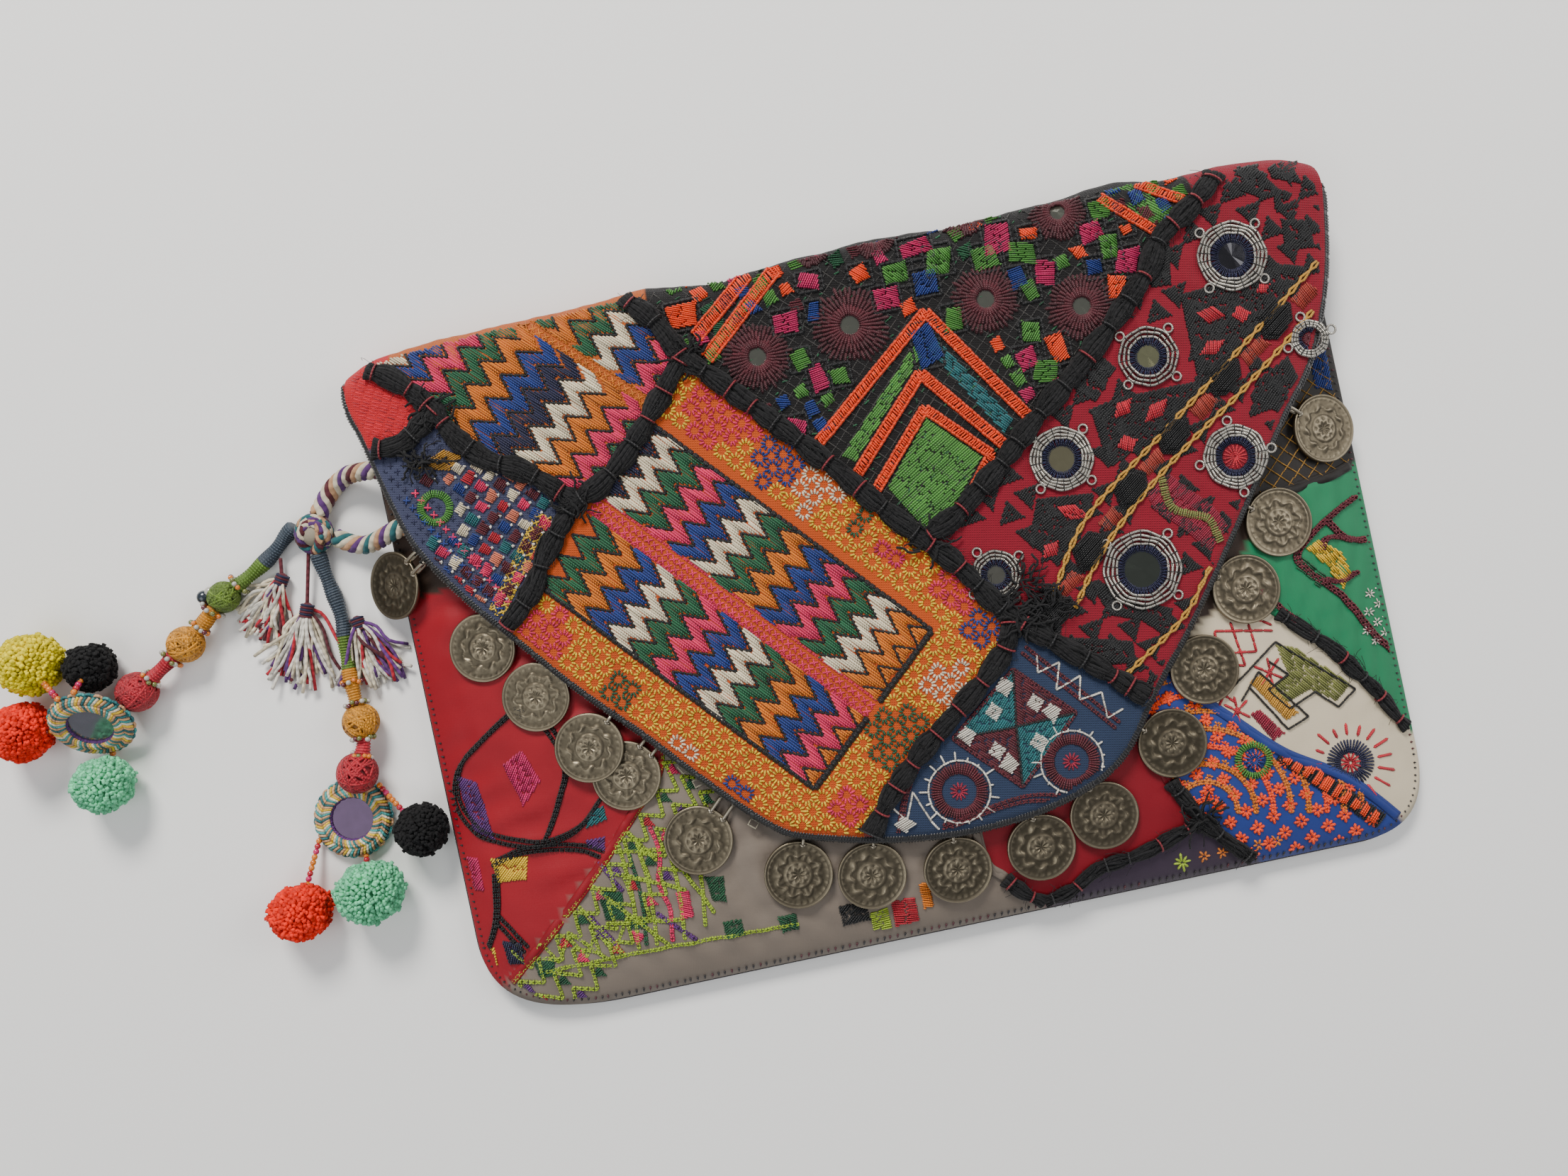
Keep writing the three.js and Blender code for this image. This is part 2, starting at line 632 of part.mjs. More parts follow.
function piping() {
  const places = pipingLine.map((place) => overFlap(place.x, place.y, flapThickness / 2 + touchGap));
  return tube(places, pipingDiameter, 6);
}

// The places of a rope of yarn that is couched along a plan line
function ropeAlong(line, over, diameter) {
  const count = Math.ceil(new THREE.CatmullRomCurve3(line, false, "centripetal").getLength() / yarnFine);
  const places = smooth(line, count).map((place) => over(place.x, place.y));
  return thinned(places, diameter, yarnStep, yarnTurn);
}

function yarn(ropes, diameter) {
  return joined(ropes.map((places) => tube(places, diameter, 5)));
}

// Room for ropes between the patches, a little past their ends
function channels(ropes, diameter) {
  const past = (end, before) => {
    const back = before.clone().sub(end).setZ(0).normalize();
    return end.clone().addScaledVector(back, -channelEnd);
  };
  return ropes.map((places) => {
    const whole = [past(places[0], places[1]), ...places, past(places.at(-1), places.at(-2))];
    return band(whole, diameter + 2 * touchGap);
  }).reduce((all, next) => all.add(next));
}

function flapPatchPieces() {
  const layer = patchLayer().subtract(channels(flapRopes, flapYarn));
  const corner = (across, down) => new THREE.Vector3(flapX(across), flapY(down), 0);
  for (const [name, patch] of Object.entries(flapPatches)) {
    const region = prism(patchOutline(patch.round, flapLines, corner));
    piece(`flap_patch_${name}`, layer.intersect(region), cloth(patch.colour));
  }
}

// Yarn lies on the flap between the patches, and stays inside the piping
function flapYarnPiece() {
  const inside = flapPlan(pipingDiameter + 2 * touchGap);
  piece("flap_couched_yarn", yarn(flapRopes, flapYarn).intersect(inside), cloth("#1c1a1b"));
}

function frontPatchPieces() {
  const bare = Object.keys(frontSeams).filter((name) => !Object.values(frontRoped).flat(2).includes(name));
  const layer = frontLayer(frontPatchLow, patchThickness)
    .intersect(prism(pouchOutline(mouthY, patchInset)))
    .subtract(channels(Object.values(frontRopes).flat(), frontYarn))
    .subtract(channels(bare.map((name) => frontLines[name]), seamGap - 2 * touchGap));
  const corner = (across, up) => new THREE.Vector3(frontX(across), frontY(up), 0);
  for (const [name, patch] of Object.entries(frontPatches)) {
    const region = prism(patchOutline(patch.round, frontLines, corner));
    piece(`front_patch_${name}`, layer.intersect(region), cloth(patch.colour));
  }
}

function frontYarnPieces() {
  for (const [name, ropes] of Object.entries(frontRopes)) {
    const inside = prism(pouchOutline(mouthY, patchInset));
    piece(`front_couched_yarn_${name}`, yarn(ropes, frontYarn).intersect(inside), cloth("#1c1a1b"));
  }
}

// A coin lies in its own XY plane with its bail towards +Y
function coinShape(bails, reach) {
  const half = coinThickness / 2;
  const face = half - coinRelief;
  const rim = coinRadius - coinRimWidth;
  const profile = [[0, -half], [coinRadius, -half], [coinRadius, half], [rim, half], [rim - coinRelief, face],
    [coinBoss / 2, face], [0, half]].map(([r, z]) => new THREE.Vector2(r, z));
  const disc = new THREE.LatheGeometry(profile, coinSides).rotateX(Math.PI / 2);
  const seat = coinRadius - 2 * bailWall;
  const places = Array.from({ length: bails }, (none, i) => (i - (bails - 1) / 2) * bailSpacing);
  const loops = places.map((x) => bail(seat, coinRadius + reach).translate(x, 0, 0));
  return joined([disc, ...loops]);
}

// A flat tube loop, open across for the thread where it is long enough
function bail(from, to) {
  const loop = new THREE.Shape();
  const half = bailHeight / 2;
  const corners = (inset) => [[from + inset, -half + inset], [to - inset, -half + inset],
    [to - inset, half - inset], [from + inset, half - inset]].map(([y, z]) => new THREE.Vector2(y, z));
  loop.setFromPoints(corners(0));
  if (to - from > 6 * bailWall) {
    const hole = new THREE.Path();
    hole.setFromPoints(corners(bailWall).reverse());
    loop.holes.push(hole);
  }
  const settings = { depth: bailWidth, bevelEnabled: false };
  const turn = new THREE.Matrix4().makeBasis(
    new THREE.Vector3(0, 1, 0), new THREE.Vector3(0, 0, 1), new THREE.Vector3(1, 0, 0));
  return new THREE.ExtrudeGeometry(loop, settings).applyMatrix4(turn).translate(-bailWidth / 2, 0, 0);
}

const coinMetal = { color: "#9c9484", roughness: 0.35, metalness: 1 };

// Each coin hangs by its bail from the nearest stretch of the flap's edge and lies on the front
function coinPieces() {
  coins.forEach((coin, i) => {
    const towards = new THREE.Vector3(frontX(coin.across), frontY(coin.up), 0);
    const nearer = (best, next) => (next.distanceTo(towards) < best.distanceTo(towards) ? next : best);
    const hook = pipingLine.reduce(nearer);
    const hang = pipingRadius + touchGap + coin.drop + coinRadius;
    const below = towards.sub(hook).setLength(hang).add(hook);
    const centre = overFront(below.x, below.y, 0);
    const seat = centre.clone().setZ(centre.z + coinLow + (0.5 + coin.raise) * coinThickness);
    const step = 1;
    const lean = new THREE.Vector3(
      puff(centre.x - step, centre.y) - puff(centre.x + step, centre.y),
      puff(centre.x, centre.y - step) - puff(centre.x, centre.y + step), 2 * step).normalize();
    const droop = THREE.MathUtils.degToRad(coin.droop);
    const pull = overFlap(hook.x, hook.y, flapThickness / 2 + touchGap).sub(seat);
    const drooped = new THREE.Vector3(Math.sign(centre.x) * Math.sin(droop), 0, Math.cos(droop));
    const up = coin.droop > 0 ? drooped.projectOnPlane(pull.clone().normalize()).normalize() : lean;
    const reach = Math.max(pull.length() - coinRadius - pipingRadius - touchGap, bailWall);
    const side = new THREE.Vector3().crossVectors(pull, up).normalize();
    const ahead = new THREE.Vector3().crossVectors(up, side).normalize();
    const mesh = piece(`coin_${i + 1}`, coinShape(coin.bails, reach), coinMetal);
    mesh.applyMatrix4(new THREE.Matrix4().makeBasis(side, ahead, up));
    mesh.position.copy(seat);
  });
}

// The charms
const places = Object.fromEntries(Object.entries(cordRoutes).map(([name, route]) => (
  [name, route.map((place) => new THREE.Vector3(...place))]
)));

function cordPieces() {
  piece("charm_cord_upper", tube(places.upper, loopCord, 8), cloth("#b9a58c"), charms);
  piece("charm_cord_lower", tube(places.lower, loopCord, 8), cloth("#b9a58c"), charms);
  piece("charm_strand_left", tube(places.left, strandCord, 8), cloth("#4a5358"), charms);
  piece("charm_strand_right", tube(places.right, strandCord, 8), cloth("#4a5358"), charms);
  const knot = new THREE.IcosahedronGeometry(knotSize / 2, 1).scale(0.92, 1.1, 0.78);
  piece("charm_knot", knot, cloth("#b9a58c"), charms).position.set(...charmKnotPlace);
}

// A thread ball drilled for the cord through it
function ballShape(diameter) {
  const hole = strandCord / 2 + 3 * touchGap;
  const radius = diameter / 2;
  const start = Math.asin(hole / radius);
  const arc = Array.from({ length: 5 }, (none, i) => start + ((Math.PI - 2 * start) * i) / 4);
  const profile = arc.map((angle) => new THREE.Vector2(radius * Math.sin(angle), -radius * Math.cos(angle)));
  profile.push(profile[0].clone());
  return new THREE.LatheGeometry(profile, ballSides);
}

function ballPieces() {
  for (const ball of balls) {
    const curve = new THREE.CatmullRomCurve3(places[ball.on], false, "centripetal");
    const mesh = piece(ball.name, ballShape(ball.diameter), cloth(ball.colour), charms);
    mesh.position.copy(curve.getPointAt(ball.along));
    mesh.quaternion.setFromUnitVectors(new THREE.Vector3(0, 1, 0), curve.getTangentAt(ball.along));
  }
}

// A crochet ring round its mirror, as one solid
function ringPieces() {
  const outer = ringDiameter / 2;
  const inner = outer - ringWidth;
  const half = ringThickness / 2;
  const glass = mirrorThickness / 2;
  const crown = 0.25 * ringWidth;
  const lower = [[0, -glass], [inner, -glass], [inner + crown, -half], [outer - crown, -half]];
  const upper = lower.map(([r, z]) => [r, -z]).reverse();
  const profile = [...lower, [outer, 0], ...upper].map(([r, z]) => new THREE.Vector2(r, z));
  for (const ring of rings) {
    const shape = new THREE.LatheGeometry(profile, ringSides).rotateX(Math.PI / 2);
    const mesh = piece(ring.name, shape, cloth("#c08a5c"), charms);
    mesh.position.set(...ring.place);
    mesh.rotation.x = THREE.MathUtils.degToRad(ring.slope);
  }
}

// A pompom: yarn tufts stand out by turns all round, and its bead string goes to where it is tied
function pompomPieces() {
  for (const pompom of pompoms) {
    const tufts = new THREE.IcosahedronGeometry(pompom.diameter / 2, 1);
    const spots = tufts.attributes.position;
    for (let i = 0; i < spots.count; i += 1) {
      const spot = new THREE.Vector3().fromBufferAttribute(spots, i);
      const wave = Math.sin(1.3 * spot.x) * Math.sin(1.1 * spot.y + 1) * Math.sin(1.2 * spot.z + 2);
      spot.multiplyScalar(0.95 + 0.05 * Math.sign(Math.round(wave * 100)));
      spots.setXYZ(i, spot.x * pompom.stretch, spot.y, spot.z);
    }
    const centre = new THREE.Vector3(...pompom.place);
    const tie = new THREE.Vector3(...pompom.tie);
    const string = tube([tie, centre], beadString, 6);
    const shape = joined([tufts.translate(...pompom.place), string]);
    piece(pompom.name, shape, cloth(pompom.colour), charms);
  }
}

// A tassel: locks fan out from the bound head and droop to the surface
function tasselPieces() {
  for (const tassel of tassels) {
    const head = new THREE.IcosahedronGeometry(tasselHead / 2, 0);
    const locks = Array.from({ length: tassel.locks }, (none, i) => {
      const spread = (i / (tassel.locks - 1) - 0.5) * tassel.fan;
      const way = THREE.MathUtils.degToRad(tassel.way + spread);
      const at = (share, side) => new THREE.Vector3(
        Math.cos(way) * share * tassel.length - Math.sin(way) * side,
        Math.sin(way) * share * tassel.length + Math.cos(way) * side,
        (tasselHead - tasselLock) / 2 * (0.2 - share) - (i % 2) * 0.3);
      return tube([at(0, 0), at(0.5, spread / 30), at(1 - 0.1 * (i % 2), 0)], tasselLock, 4);
    });
    const tie = new THREE.Vector3(...tassel.tie).sub(new THREE.Vector3(...tassel.place));
    const thread = tube([tie, new THREE.Vector3()], tasselThread, 4);
    const shape = joined([head, thread, ...locks]);
    piece(tassel.name, shape, cloth("#8a5f78"), charms).position.set(...tassel.place);
  }
}

piece("back_panel", backPanel(), cloth("#2c2426"));
piece("front_panel", frontPanel(), cloth("#3a2c2a"));
piece("flap", flap(), cloth("#2f2522"));
piece("flap_piping", piping(), { color: "#121214", roughness: 0.35, metalness: 0 });
flapPatchPieces();
flapYarnPiece();
frontPatchPieces();
frontYarnPieces();
coinPieces();
cordPieces();
ballPieces();
ringPieces();
pompomPieces();
tasselPieces();

// The origin is under the middle of the clutch with its coins, on the surface that it lies on
group.updateMatrixWorld(true);
const extent = new THREE.Box3().setFromObject(clutch, true);
const middle = extent.getCenter(new THREE.Vector3());
group.position.set(-middle.x, -middle.y, -extent.min.z);

export default group;
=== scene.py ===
"""The looks of the embroidered clutch, laid over its CAD frame.

Lengths are in millimetres until a mesh is made. The plan is the CAD part's own: x runs along the fold and
y towards it, with the middle of the pouch at zero. Places marked "seen" are read in the photograph on a
level plane and are carried along the camera's rays to the cloth that they lie on.
"""
import math

import bpy
import numpy as np
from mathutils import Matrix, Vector


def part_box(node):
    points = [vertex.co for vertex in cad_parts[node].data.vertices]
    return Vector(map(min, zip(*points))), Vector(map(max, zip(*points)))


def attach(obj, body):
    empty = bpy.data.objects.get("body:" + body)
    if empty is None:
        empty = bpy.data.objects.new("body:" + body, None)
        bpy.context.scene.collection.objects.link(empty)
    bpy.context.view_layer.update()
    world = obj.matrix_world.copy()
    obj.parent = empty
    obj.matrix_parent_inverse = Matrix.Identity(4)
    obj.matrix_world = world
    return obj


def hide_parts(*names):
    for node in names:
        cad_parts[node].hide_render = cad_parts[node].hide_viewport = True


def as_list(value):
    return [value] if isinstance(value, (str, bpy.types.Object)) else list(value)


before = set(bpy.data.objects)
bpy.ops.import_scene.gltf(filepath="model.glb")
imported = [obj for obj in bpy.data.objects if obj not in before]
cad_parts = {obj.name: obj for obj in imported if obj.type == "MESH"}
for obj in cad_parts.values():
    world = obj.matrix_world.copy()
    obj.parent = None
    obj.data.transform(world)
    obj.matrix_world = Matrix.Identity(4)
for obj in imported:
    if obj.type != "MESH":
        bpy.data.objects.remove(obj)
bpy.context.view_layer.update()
rng = np.random.default_rng(7)

# Sizes of the CAD part
MM = 0.001
HALF_POUCH, HALF_FLAP = 170.5, 174.5
FLAP_WIDTH, FLAP_DROP = 349.0, 205.03
POUCH_WIDTH, POUCH_DEPTH = 341.0, 241.5
FOLD_Y, BOTTOM_Y, MOUTH_Y, BACK_END_Y = 120.75, -120.75, 95.75, 98.75
PUFF, PUFF_FOOT_Y, SIDE_SINK = 10.6, -12.0, 0.5
FRONT_LOW, FLAP_LOW = 2.75, 8.5
FRONT_TOP, FLAP_TOP = 2.9, 3.7
FLAP_THICK = 2.6
FOLD_RISE, CORNER_PULL = 3.5, 7.0
COIN_LOW, COIN_THICK, COIN_R = 3.45, 1.8, 12.0
EYE = np.array([-37.85, 9.95])
EYE_HEIGHT = 432.0
EYE_TURN, LENS, SENSOR = -12, 27.504, 36
CORD_ACROSS, STRAND_ACROSS = 5, 4.4
COIN_RINGS, COIN_SIDES, COIN_WALL, BAIL_PITCH = 26, 84, 1.5, 5
TUFTS, TASSEL_STRANDS, BALL_TURNS = 900, 60, 48
FLOOR_SIDE, FLOOR_GAP, ROOM_LIGHT = 8, .0002, .36

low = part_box("back_panel")[0]
SHIFT = np.array([low.x / MM + HALF_POUCH, low.y / MM - BOTTOM_Y, 0.0])

# The camera of the photograph: straight above, turned twelve degrees
camera = bpy.data.objects.new("camera", bpy.data.cameras.new("camera"))
bpy.context.collection.objects.link(camera)
camera.location = Vector((*((np.append(EYE, EYE_HEIGHT) + SHIFT) * MM),))
camera.rotation_euler = (0, 0, math.radians(EYE_TURN))
camera.data.lens = LENS
camera.data.sensor_width = SENSOR
camera.data.clip_start = 0.02
bpy.context.scene.camera = camera

# Shares of the flap's width and drop, and of the pouch's width and depth
FLAP_EDGE = ([0, .001, .01, .025, .042, .078, .123, .171, .226, .277, .329, .365, .449, .535, .619, .683,
              .732, .781, .846, .909, .951, .983, .999, 1],
             [.05, .101, .152, .262, .35, .447, .541, .64, .739, .838, .929, .962, .998, 1.01, .992, .942,
              .838, .739, .591, .442, .351, .225, .1, .06])
FLAP_SEAMS = {
    "crown": ([.01, .01, .03, .052, .075, .091], [-.03, .012, .035, .056, .091, .129]),
    "corner": ([-.02, .015, .036, .06, .091], [.164, .165, .174, .166, .129]),
    "left": ([.091, .109, .132, .163, .189, .209], [.129, .183, .228, .255, .294, .329]),
    "lowLeft": ([.209, .189, .17, .151, .113, .09], [.329, .365, .404, .456, .514, .545]),
    "middle": ([.209, .238, .271, .302, .341], [.329, .307, .263, .206, .131]),
    "top": ([.295, .297, .32, .341], [-.03, .012, .057, .131]),
    "long": ([.341, .375, .407, .44, .474, .502, .534], [.131, .189, .252, .315, .385, .444, .51]),
    "right": ([.534, .571, .617, .669, .715, .755, .8, .822, .86, .89, .893],
              [.51, .48, .422, .348, .287, .228, .155, .101, .056, .012, -.03]),
    "lower": ([.534, .559, .577, .6], [.51, .557, .604, .661]),
    "lowRight": ([.6, .634, .672, .718, .74], [.661, .715, .772, .845, .88]),
    "bottom": ([.6, .591, .557, .517, .483, .45, .422, .41],
               [.661, .713, .768, .818, .864, .918, .978, 1.02]),
}
FLAP_ROPES = [["crown", "left", "lowLeft"], ["corner"], ["middle"], ["top", "long", "lower", "lowRight"],
              ["right"], ["bottom"]]
FLAP_PATCHES = {
    "corner": ["crown", "-corner", (-.1, .16), (-.1, -.1)],
    "chevron": ["crown", "left", "middle", "-top", (.28, -.1), (0, -.1)],
    "lattice": ["corner", "left", "lowLeft", (-.1, .55), (-.1, .16)],
    "orange": ["middle", "long", "lower", "bottom", (.4, 1.1), (-.1, 1.1), (-.1, .55), "-lowLeft"],
    "net": ["-top", (.28, -.1), (.92, -.1), "-right", "-long"],
    "twill": ["right", (1.1, -.1), (1.1, .95), (.75, .95), "-lowRight", "-lower"],
    "blue": ["lowRight", (.74, 1.1), (.41, 1.1), "-bottom"],
}
FRONT_SEAMS = {
    "lime": ([.235, .223, .191, .137, .083, .026, 0], [.4, .32, .271, .194, .126, .061, .03]),
    "dipTop": ([.53, .53, .549], [.26, .105, .062]),
    "dip": ([.549, .567, .586, .588], [.062, .032, .013, -.01]),
    "hem": ([.586, .615, .645, .695, .758], [.013, .022, .048, .058, .088]),
    "blueUp": ([.758, .738, .733], [.088, .139, .153]),
    "blueTop": ([.733, .72, .71], [.153, .22, .28]),
    "blueDown": ([.758, .785, .812, .82], [.088, .041, .004, -.01]),
    "amber": ([.74, .761, .805, .853, .915, .969, .99], [.31, .287, .225, .158, .099, .016, -.02]),
    "rightTop": ([.84, .876], [.41, .358]),
    "right": ([.876, .89, .924, .955, .985, 1.0], [.358, .338, .292, .234, .165, .14]),
    "side": ([.88, .918, .943, .972, 1.05], [.52, .527, .532, .537, .57]),
}
FRONT_ROPES = [["dip"], ["hem", "blueDown"], ["blueUp"], ["right"]]
FRONT_PATCHES = {
    "satin": ["lime", (-.05, .03), (-.05, .64), (.14, .64)],
    "grey": ["lime", (0, -.05), (.59, -.05), "-dip", "-dipTop", (.36, .27)],
    "red": ["dipTop", (.567, .032), "hem", "blueUp", "blueTop"],
    "hem": ["hem", "blueDown", (.83, -.05), (.59, -.05)],
    "royal": ["amber", (.95, -.05), (.83, -.05), "-blueDown", "blueUp", "blueTop"],
    "cream": ["amber", (1.05, -.02), (1.05, .08), "-right", "-rightTop"],
    "green": ["rightTop", "right", (1.05, .08), "-side"],
    "net": ["side", (1.05, .78), (.95, .78)],
}
CLOTH = {
    "corner": "b81a22", "chevron": "b0561c", "lattice": "3b3f58", "orange": "b84a10", "net": "0c0909",
    "twill": "840a22", "blue": "26344e", "satin": "8e0216", "grey": "756a5f", "red": "7c0618",
    "hem": "3a2d3c", "royal": "25397f", "cream": "cdbfa4", "green": "14744a", "front_net": "1d1814",
    "lining": "1c191a",
}
COINS = [(-.005, .663, 2, .9, 36), (.075, .547, 1, 0, 0), (.119, .462, 1, 0, 0), (.163, .376, 1, 1.35, 0),
         (.193, .325, 2, 0, 0), (.251, .213, 2, 0, 0), (.343, .134, 1, 0, 0), (.416, .11, 1, 0, 0),
         (.503, .092, 1, 0, 0), (.591, .099, 1, 0, 0), (.66, .126, 1, 0, 0), (.742, .208, 1, 0, 0),
         (.789, .302, 1, 0, 0), (.848, .402, 1, 0, 0), (.896, .486, 1, 0, 0), (.966, .605, 1, 0, 0)]


def rgb(text):
    """Linear colour of a hex one."""
    c = np.array([int(text[i:i + 2], 16) for i in (0, 2, 4)]) / 255
    return np.where(c <= .04045, c / 12.92, ((c + .055) / 1.055) ** 2.4)


# The shape: the same rules as the CAD part's
def slope(y):
    v = np.clip((PUFF_FOOT_Y - y) / (PUFF_FOOT_Y - BOTTOM_Y), 0, 1)
    return np.clip(1 - v ** 5, 0, 1) ** .8


def front_z(x, y, h=0.0):
    u = np.minimum(np.abs(x) / HALF_POUCH, 1)
    return FRONT_LOW + PUFF * np.clip(1 - u ** 6, 0, 1) ** .8 * slope(y) + h


SWELLS = [(.16, .2, .06, .09), (.33, .55, .08, .1), (.47, .72, .06, .07), (.58, .3, .06, .12),
          (.78, .33, .06, .1), (.67, .62, .05, .08)]
WAVES = [(.31, .035, .4), (.39, .04, -.6), (.55, .05, .25), (.63, .04, -.35), (.79, .035, .6),
         (.85, .03, -.3)]


def flap_xy(across, down):
    return (np.asarray(across) - .5) * FLAP_WIDTH, FOLD_Y - np.asarray(down) * FLAP_DROP


def front_xy(across, up):
    return (np.asarray(across) - .5) * POUCH_WIDTH, BOTTOM_Y + np.asarray(up) * POUCH_DEPTH


def fold_lift(x):
    return PUFF * (1 - SIDE_SINK * np.minimum(np.abs(x) / HALF_FLAP, 1) ** 5)


def flap_lift(x, y):
    lift = fold_lift(x) * slope(y)
    for across, down, wide, high in SWELLS:
        cx, cy = flap_xy(across, down)
        lift = lift + high * PUFF * np.exp(-((x - cx) ** 2 + (y - cy) ** 2) / (wide * FLAP_WIDTH) ** 2)
    return lift


def fold(x):
    radius = (FLAP_LOW + fold_lift(x)) / 2
    line = FOLD_Y + FOLD_RISE * x / FLAP_WIDTH
    line = line - CORNER_PULL * np.minimum(np.abs(x) / HALF_FLAP, 1) ** 16
    for across, wide, out in WAVES:
        line = line + out * FOLD_RISE * np.exp(-((x - flap_xy(across, 0)[0]) / (wide * FLAP_WIDTH)) ** 2)
    return radius, line - radius - FLAP_THICK / 2, radius + FLAP_THICK / 2


def over_flap(x, y, h):
    """Places on the flap above plan places, h above its inner side; past the fold they stay on its bend."""
    x, y = np.broadcast_arrays(np.asarray(x, float), np.asarray(y, float))
    radius, cy, cz = fold(x)
    reach = radius - FLAP_THICK / 2 + h
    out = np.clip(y - cy, 0, reach)
    bent = y > cy
    z = np.where(bent, cz + np.sqrt(np.maximum(reach ** 2 - out ** 2, 0)), FLAP_LOW + flap_lift(x, y) + h)
    return np.stack([x, np.where(bent, cy + out, y), z], -1)


def over_front(x, y, h):
    x, y = np.broadcast_arrays(np.asarray(x, float), np.asarray(y, float))
    return np.stack([x, y, front_z(x, y, h)], -1)


def seen(points, plane, over, h):
    """Plan places under places seen on a level plane in the photograph."""
    p = np.asarray(points, float) + np.array([2.65, -.25])
    q = p
    for _ in range(4):
        z = over(q[..., 0], q[..., 1], h)[..., 2:3]
        q = EYE + (p - EYE) * (EYE_HEIGHT - z) / (EYE_HEIGHT - plane)
    return q


def spaced(points, step):
    """Places along a smooth line through the points, each a step apart."""
    p = np.asarray(points, float)
    ends = np.vstack([2 * p[0] - p[1], p, 2 * p[-1] - p[-2]])
    t = np.linspace(0, 1, 13)[:-1, None]
    fine = []
    for a, b, c, d in zip(ends, ends[1:], ends[2:], ends[3:]):
        fine.append(.5 * (2 * b + (c - a) * t + (2 * a - 5 * b + 4 * c - d) * t ** 2
                          + (3 * b - a - 3 * c + d) * t ** 3))
    fine = np.vstack(fine + [p[-1:]])
    length = np.concatenate([[0], np.cumsum(np.linalg.norm(np.diff(fine, axis=0), axis=1))])
    count = max(2, int(round(length[-1] / step)) + 1)
    at = np.linspace(0, length[-1], count)
    return np.stack([np.interp(at, length, fine[:, i]) for i in range(p.shape[1])], 1)


def seam(table, name, xy):
    return spaced(np.stack(xy(*table[name]), 1), 2)


def outline(parts, table, xy):
    points = []
    for part in parts:
        if isinstance(part, tuple):
            points.append(np.array([xy(*part)]))
        else:
            line = seam(table, part.strip("-"), xy)
            points.append(line[::-1] if part[0] == "-" else line)
    return np.vstack(points)


def inside(points, polygon):
    x, y = points[..., 0], points[..., 1]
    result = np.zeros(x.shape, bool)
    for (x0, y0), (x1, y1) in zip(polygon, np.roll(polygon, -1, 0)):
        crosses = (y0 > y) != (y1 > y)
        with np.errstate(divide="ignore", invalid="ignore"):
            result ^= crosses & (x < (x1 - x0) * (y - y0) / (y1 - y0) + x0)
    return result


FLAP_OUTLINES = {name: outline(parts, FLAP_SEAMS, flap_xy) for name, parts in FLAP_PATCHES.items()}
FRONT_OUTLINES = {name: outline(parts, FRONT_SEAMS, front_xy) for name, parts in FRONT_PATCHES.items()}
EDGE = spaced(np.stack(flap_xy(*FLAP_EDGE), 1), 1.5)


def aside(line, distance):
    """The line moved to its left."""
    way = np.gradient(line[:, :2], axis=0)
    way /= np.linalg.norm(way, axis=1)[:, None]
    moved = line.copy()
    moved[:, 0] -= way[:, 1] * distance
    moved[:, 1] += way[:, 0] * distance
    return moved


# Meshes from arrays
def round_places(angle):
    """Places on a circle of radius 1."""
    return np.stack([np.cos(angle), np.sin(angle)], -1)


def turning(angle):
    """The matrix that turns rows of plan places by an angle in radians."""
    c, s = math.cos(angle), math.sin(angle)
    return np.array([[c, s], [-s, c]])


def way_and_side(line):
    """Unit directions along a plan line and square to it."""
    way = np.gradient(line, axis=0)
    way /= np.linalg.norm(way, axis=1)[:, None]
    return way, np.stack([-way[:, 1], way[:, 0]], 1)


def mesh(name, verts, faces, material, tint=None, lay=None, indexes=None, smooth=True):
    """One object from places in millimetres and lists of faces with the same number of corners each."""
    data = bpy.data.meshes.new(name)
    verts = (np.asarray(verts, float) + SHIFT) * MM
    faces = [np.asarray(f, np.int64) for f in faces if len(f)]
    data.vertices.add(len(verts))
    data.vertices.foreach_set("co", verts.ravel().astype(np.float32))
    corners = np.concatenate([f.ravel() for f in faces])
    sizes = np.concatenate([np.full(len(f), f.shape[1]) for f in faces])
    data.loops.add(len(corners))
    data.loops.foreach_set("vertex_index", corners.astype(np.int32))
    data.polygons.add(len(sizes))
    starts = np.concatenate([[0], np.cumsum(sizes)[:-1]])
    data.polygons.foreach_set("loop_start", starts.astype(np.int32))
    data.update(calc_edges=True)
    if tint is not None:
        layer = data.color_attributes.new("tint", "FLOAT_COLOR", "POINT")
        full = np.ones((len(verts), 4), np.float32)
        full[:, :3] = tint
        layer.data.foreach_set("color", full.ravel())
    if lay is not None:
        layer = data.attributes.new("lay", "FLOAT_VECTOR", "POINT")
        layer.data.foreach_set("vector", np.asarray(lay, np.float32).ravel())
    for m in material if isinstance(material, list) else [material]:
        data.materials.append(m)
    if indexes is not None:
        data.polygons.foreach_set("material_index", np.asarray(indexes, np.int32))
    data.polygons.foreach_set("use_smooth", np.full(len(sizes), smooth))
    data.validate()
    obj = bpy.data.objects.new(name, data)
    bpy.context.collection.objects.link(obj)
    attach(obj, "root")
    return obj


def shape_of(start):
    """Places, four-sided and three-sided faces of a finished start shape, which is cleared away."""
    data = start.data
    verts = np.array([v.co[:] for v in data.vertices])
    quads = np.array([f.vertices[:] for f in data.polygons if len(f.vertices) == 4])
    tris = np.array([f.vertices[:] for f in data.polygons if len(f.vertices) == 3])
    bpy.data.objects.remove(start)
    bpy.data.meshes.remove(data)
    return verts, quads, tris


BEAD_SHAPES = {}


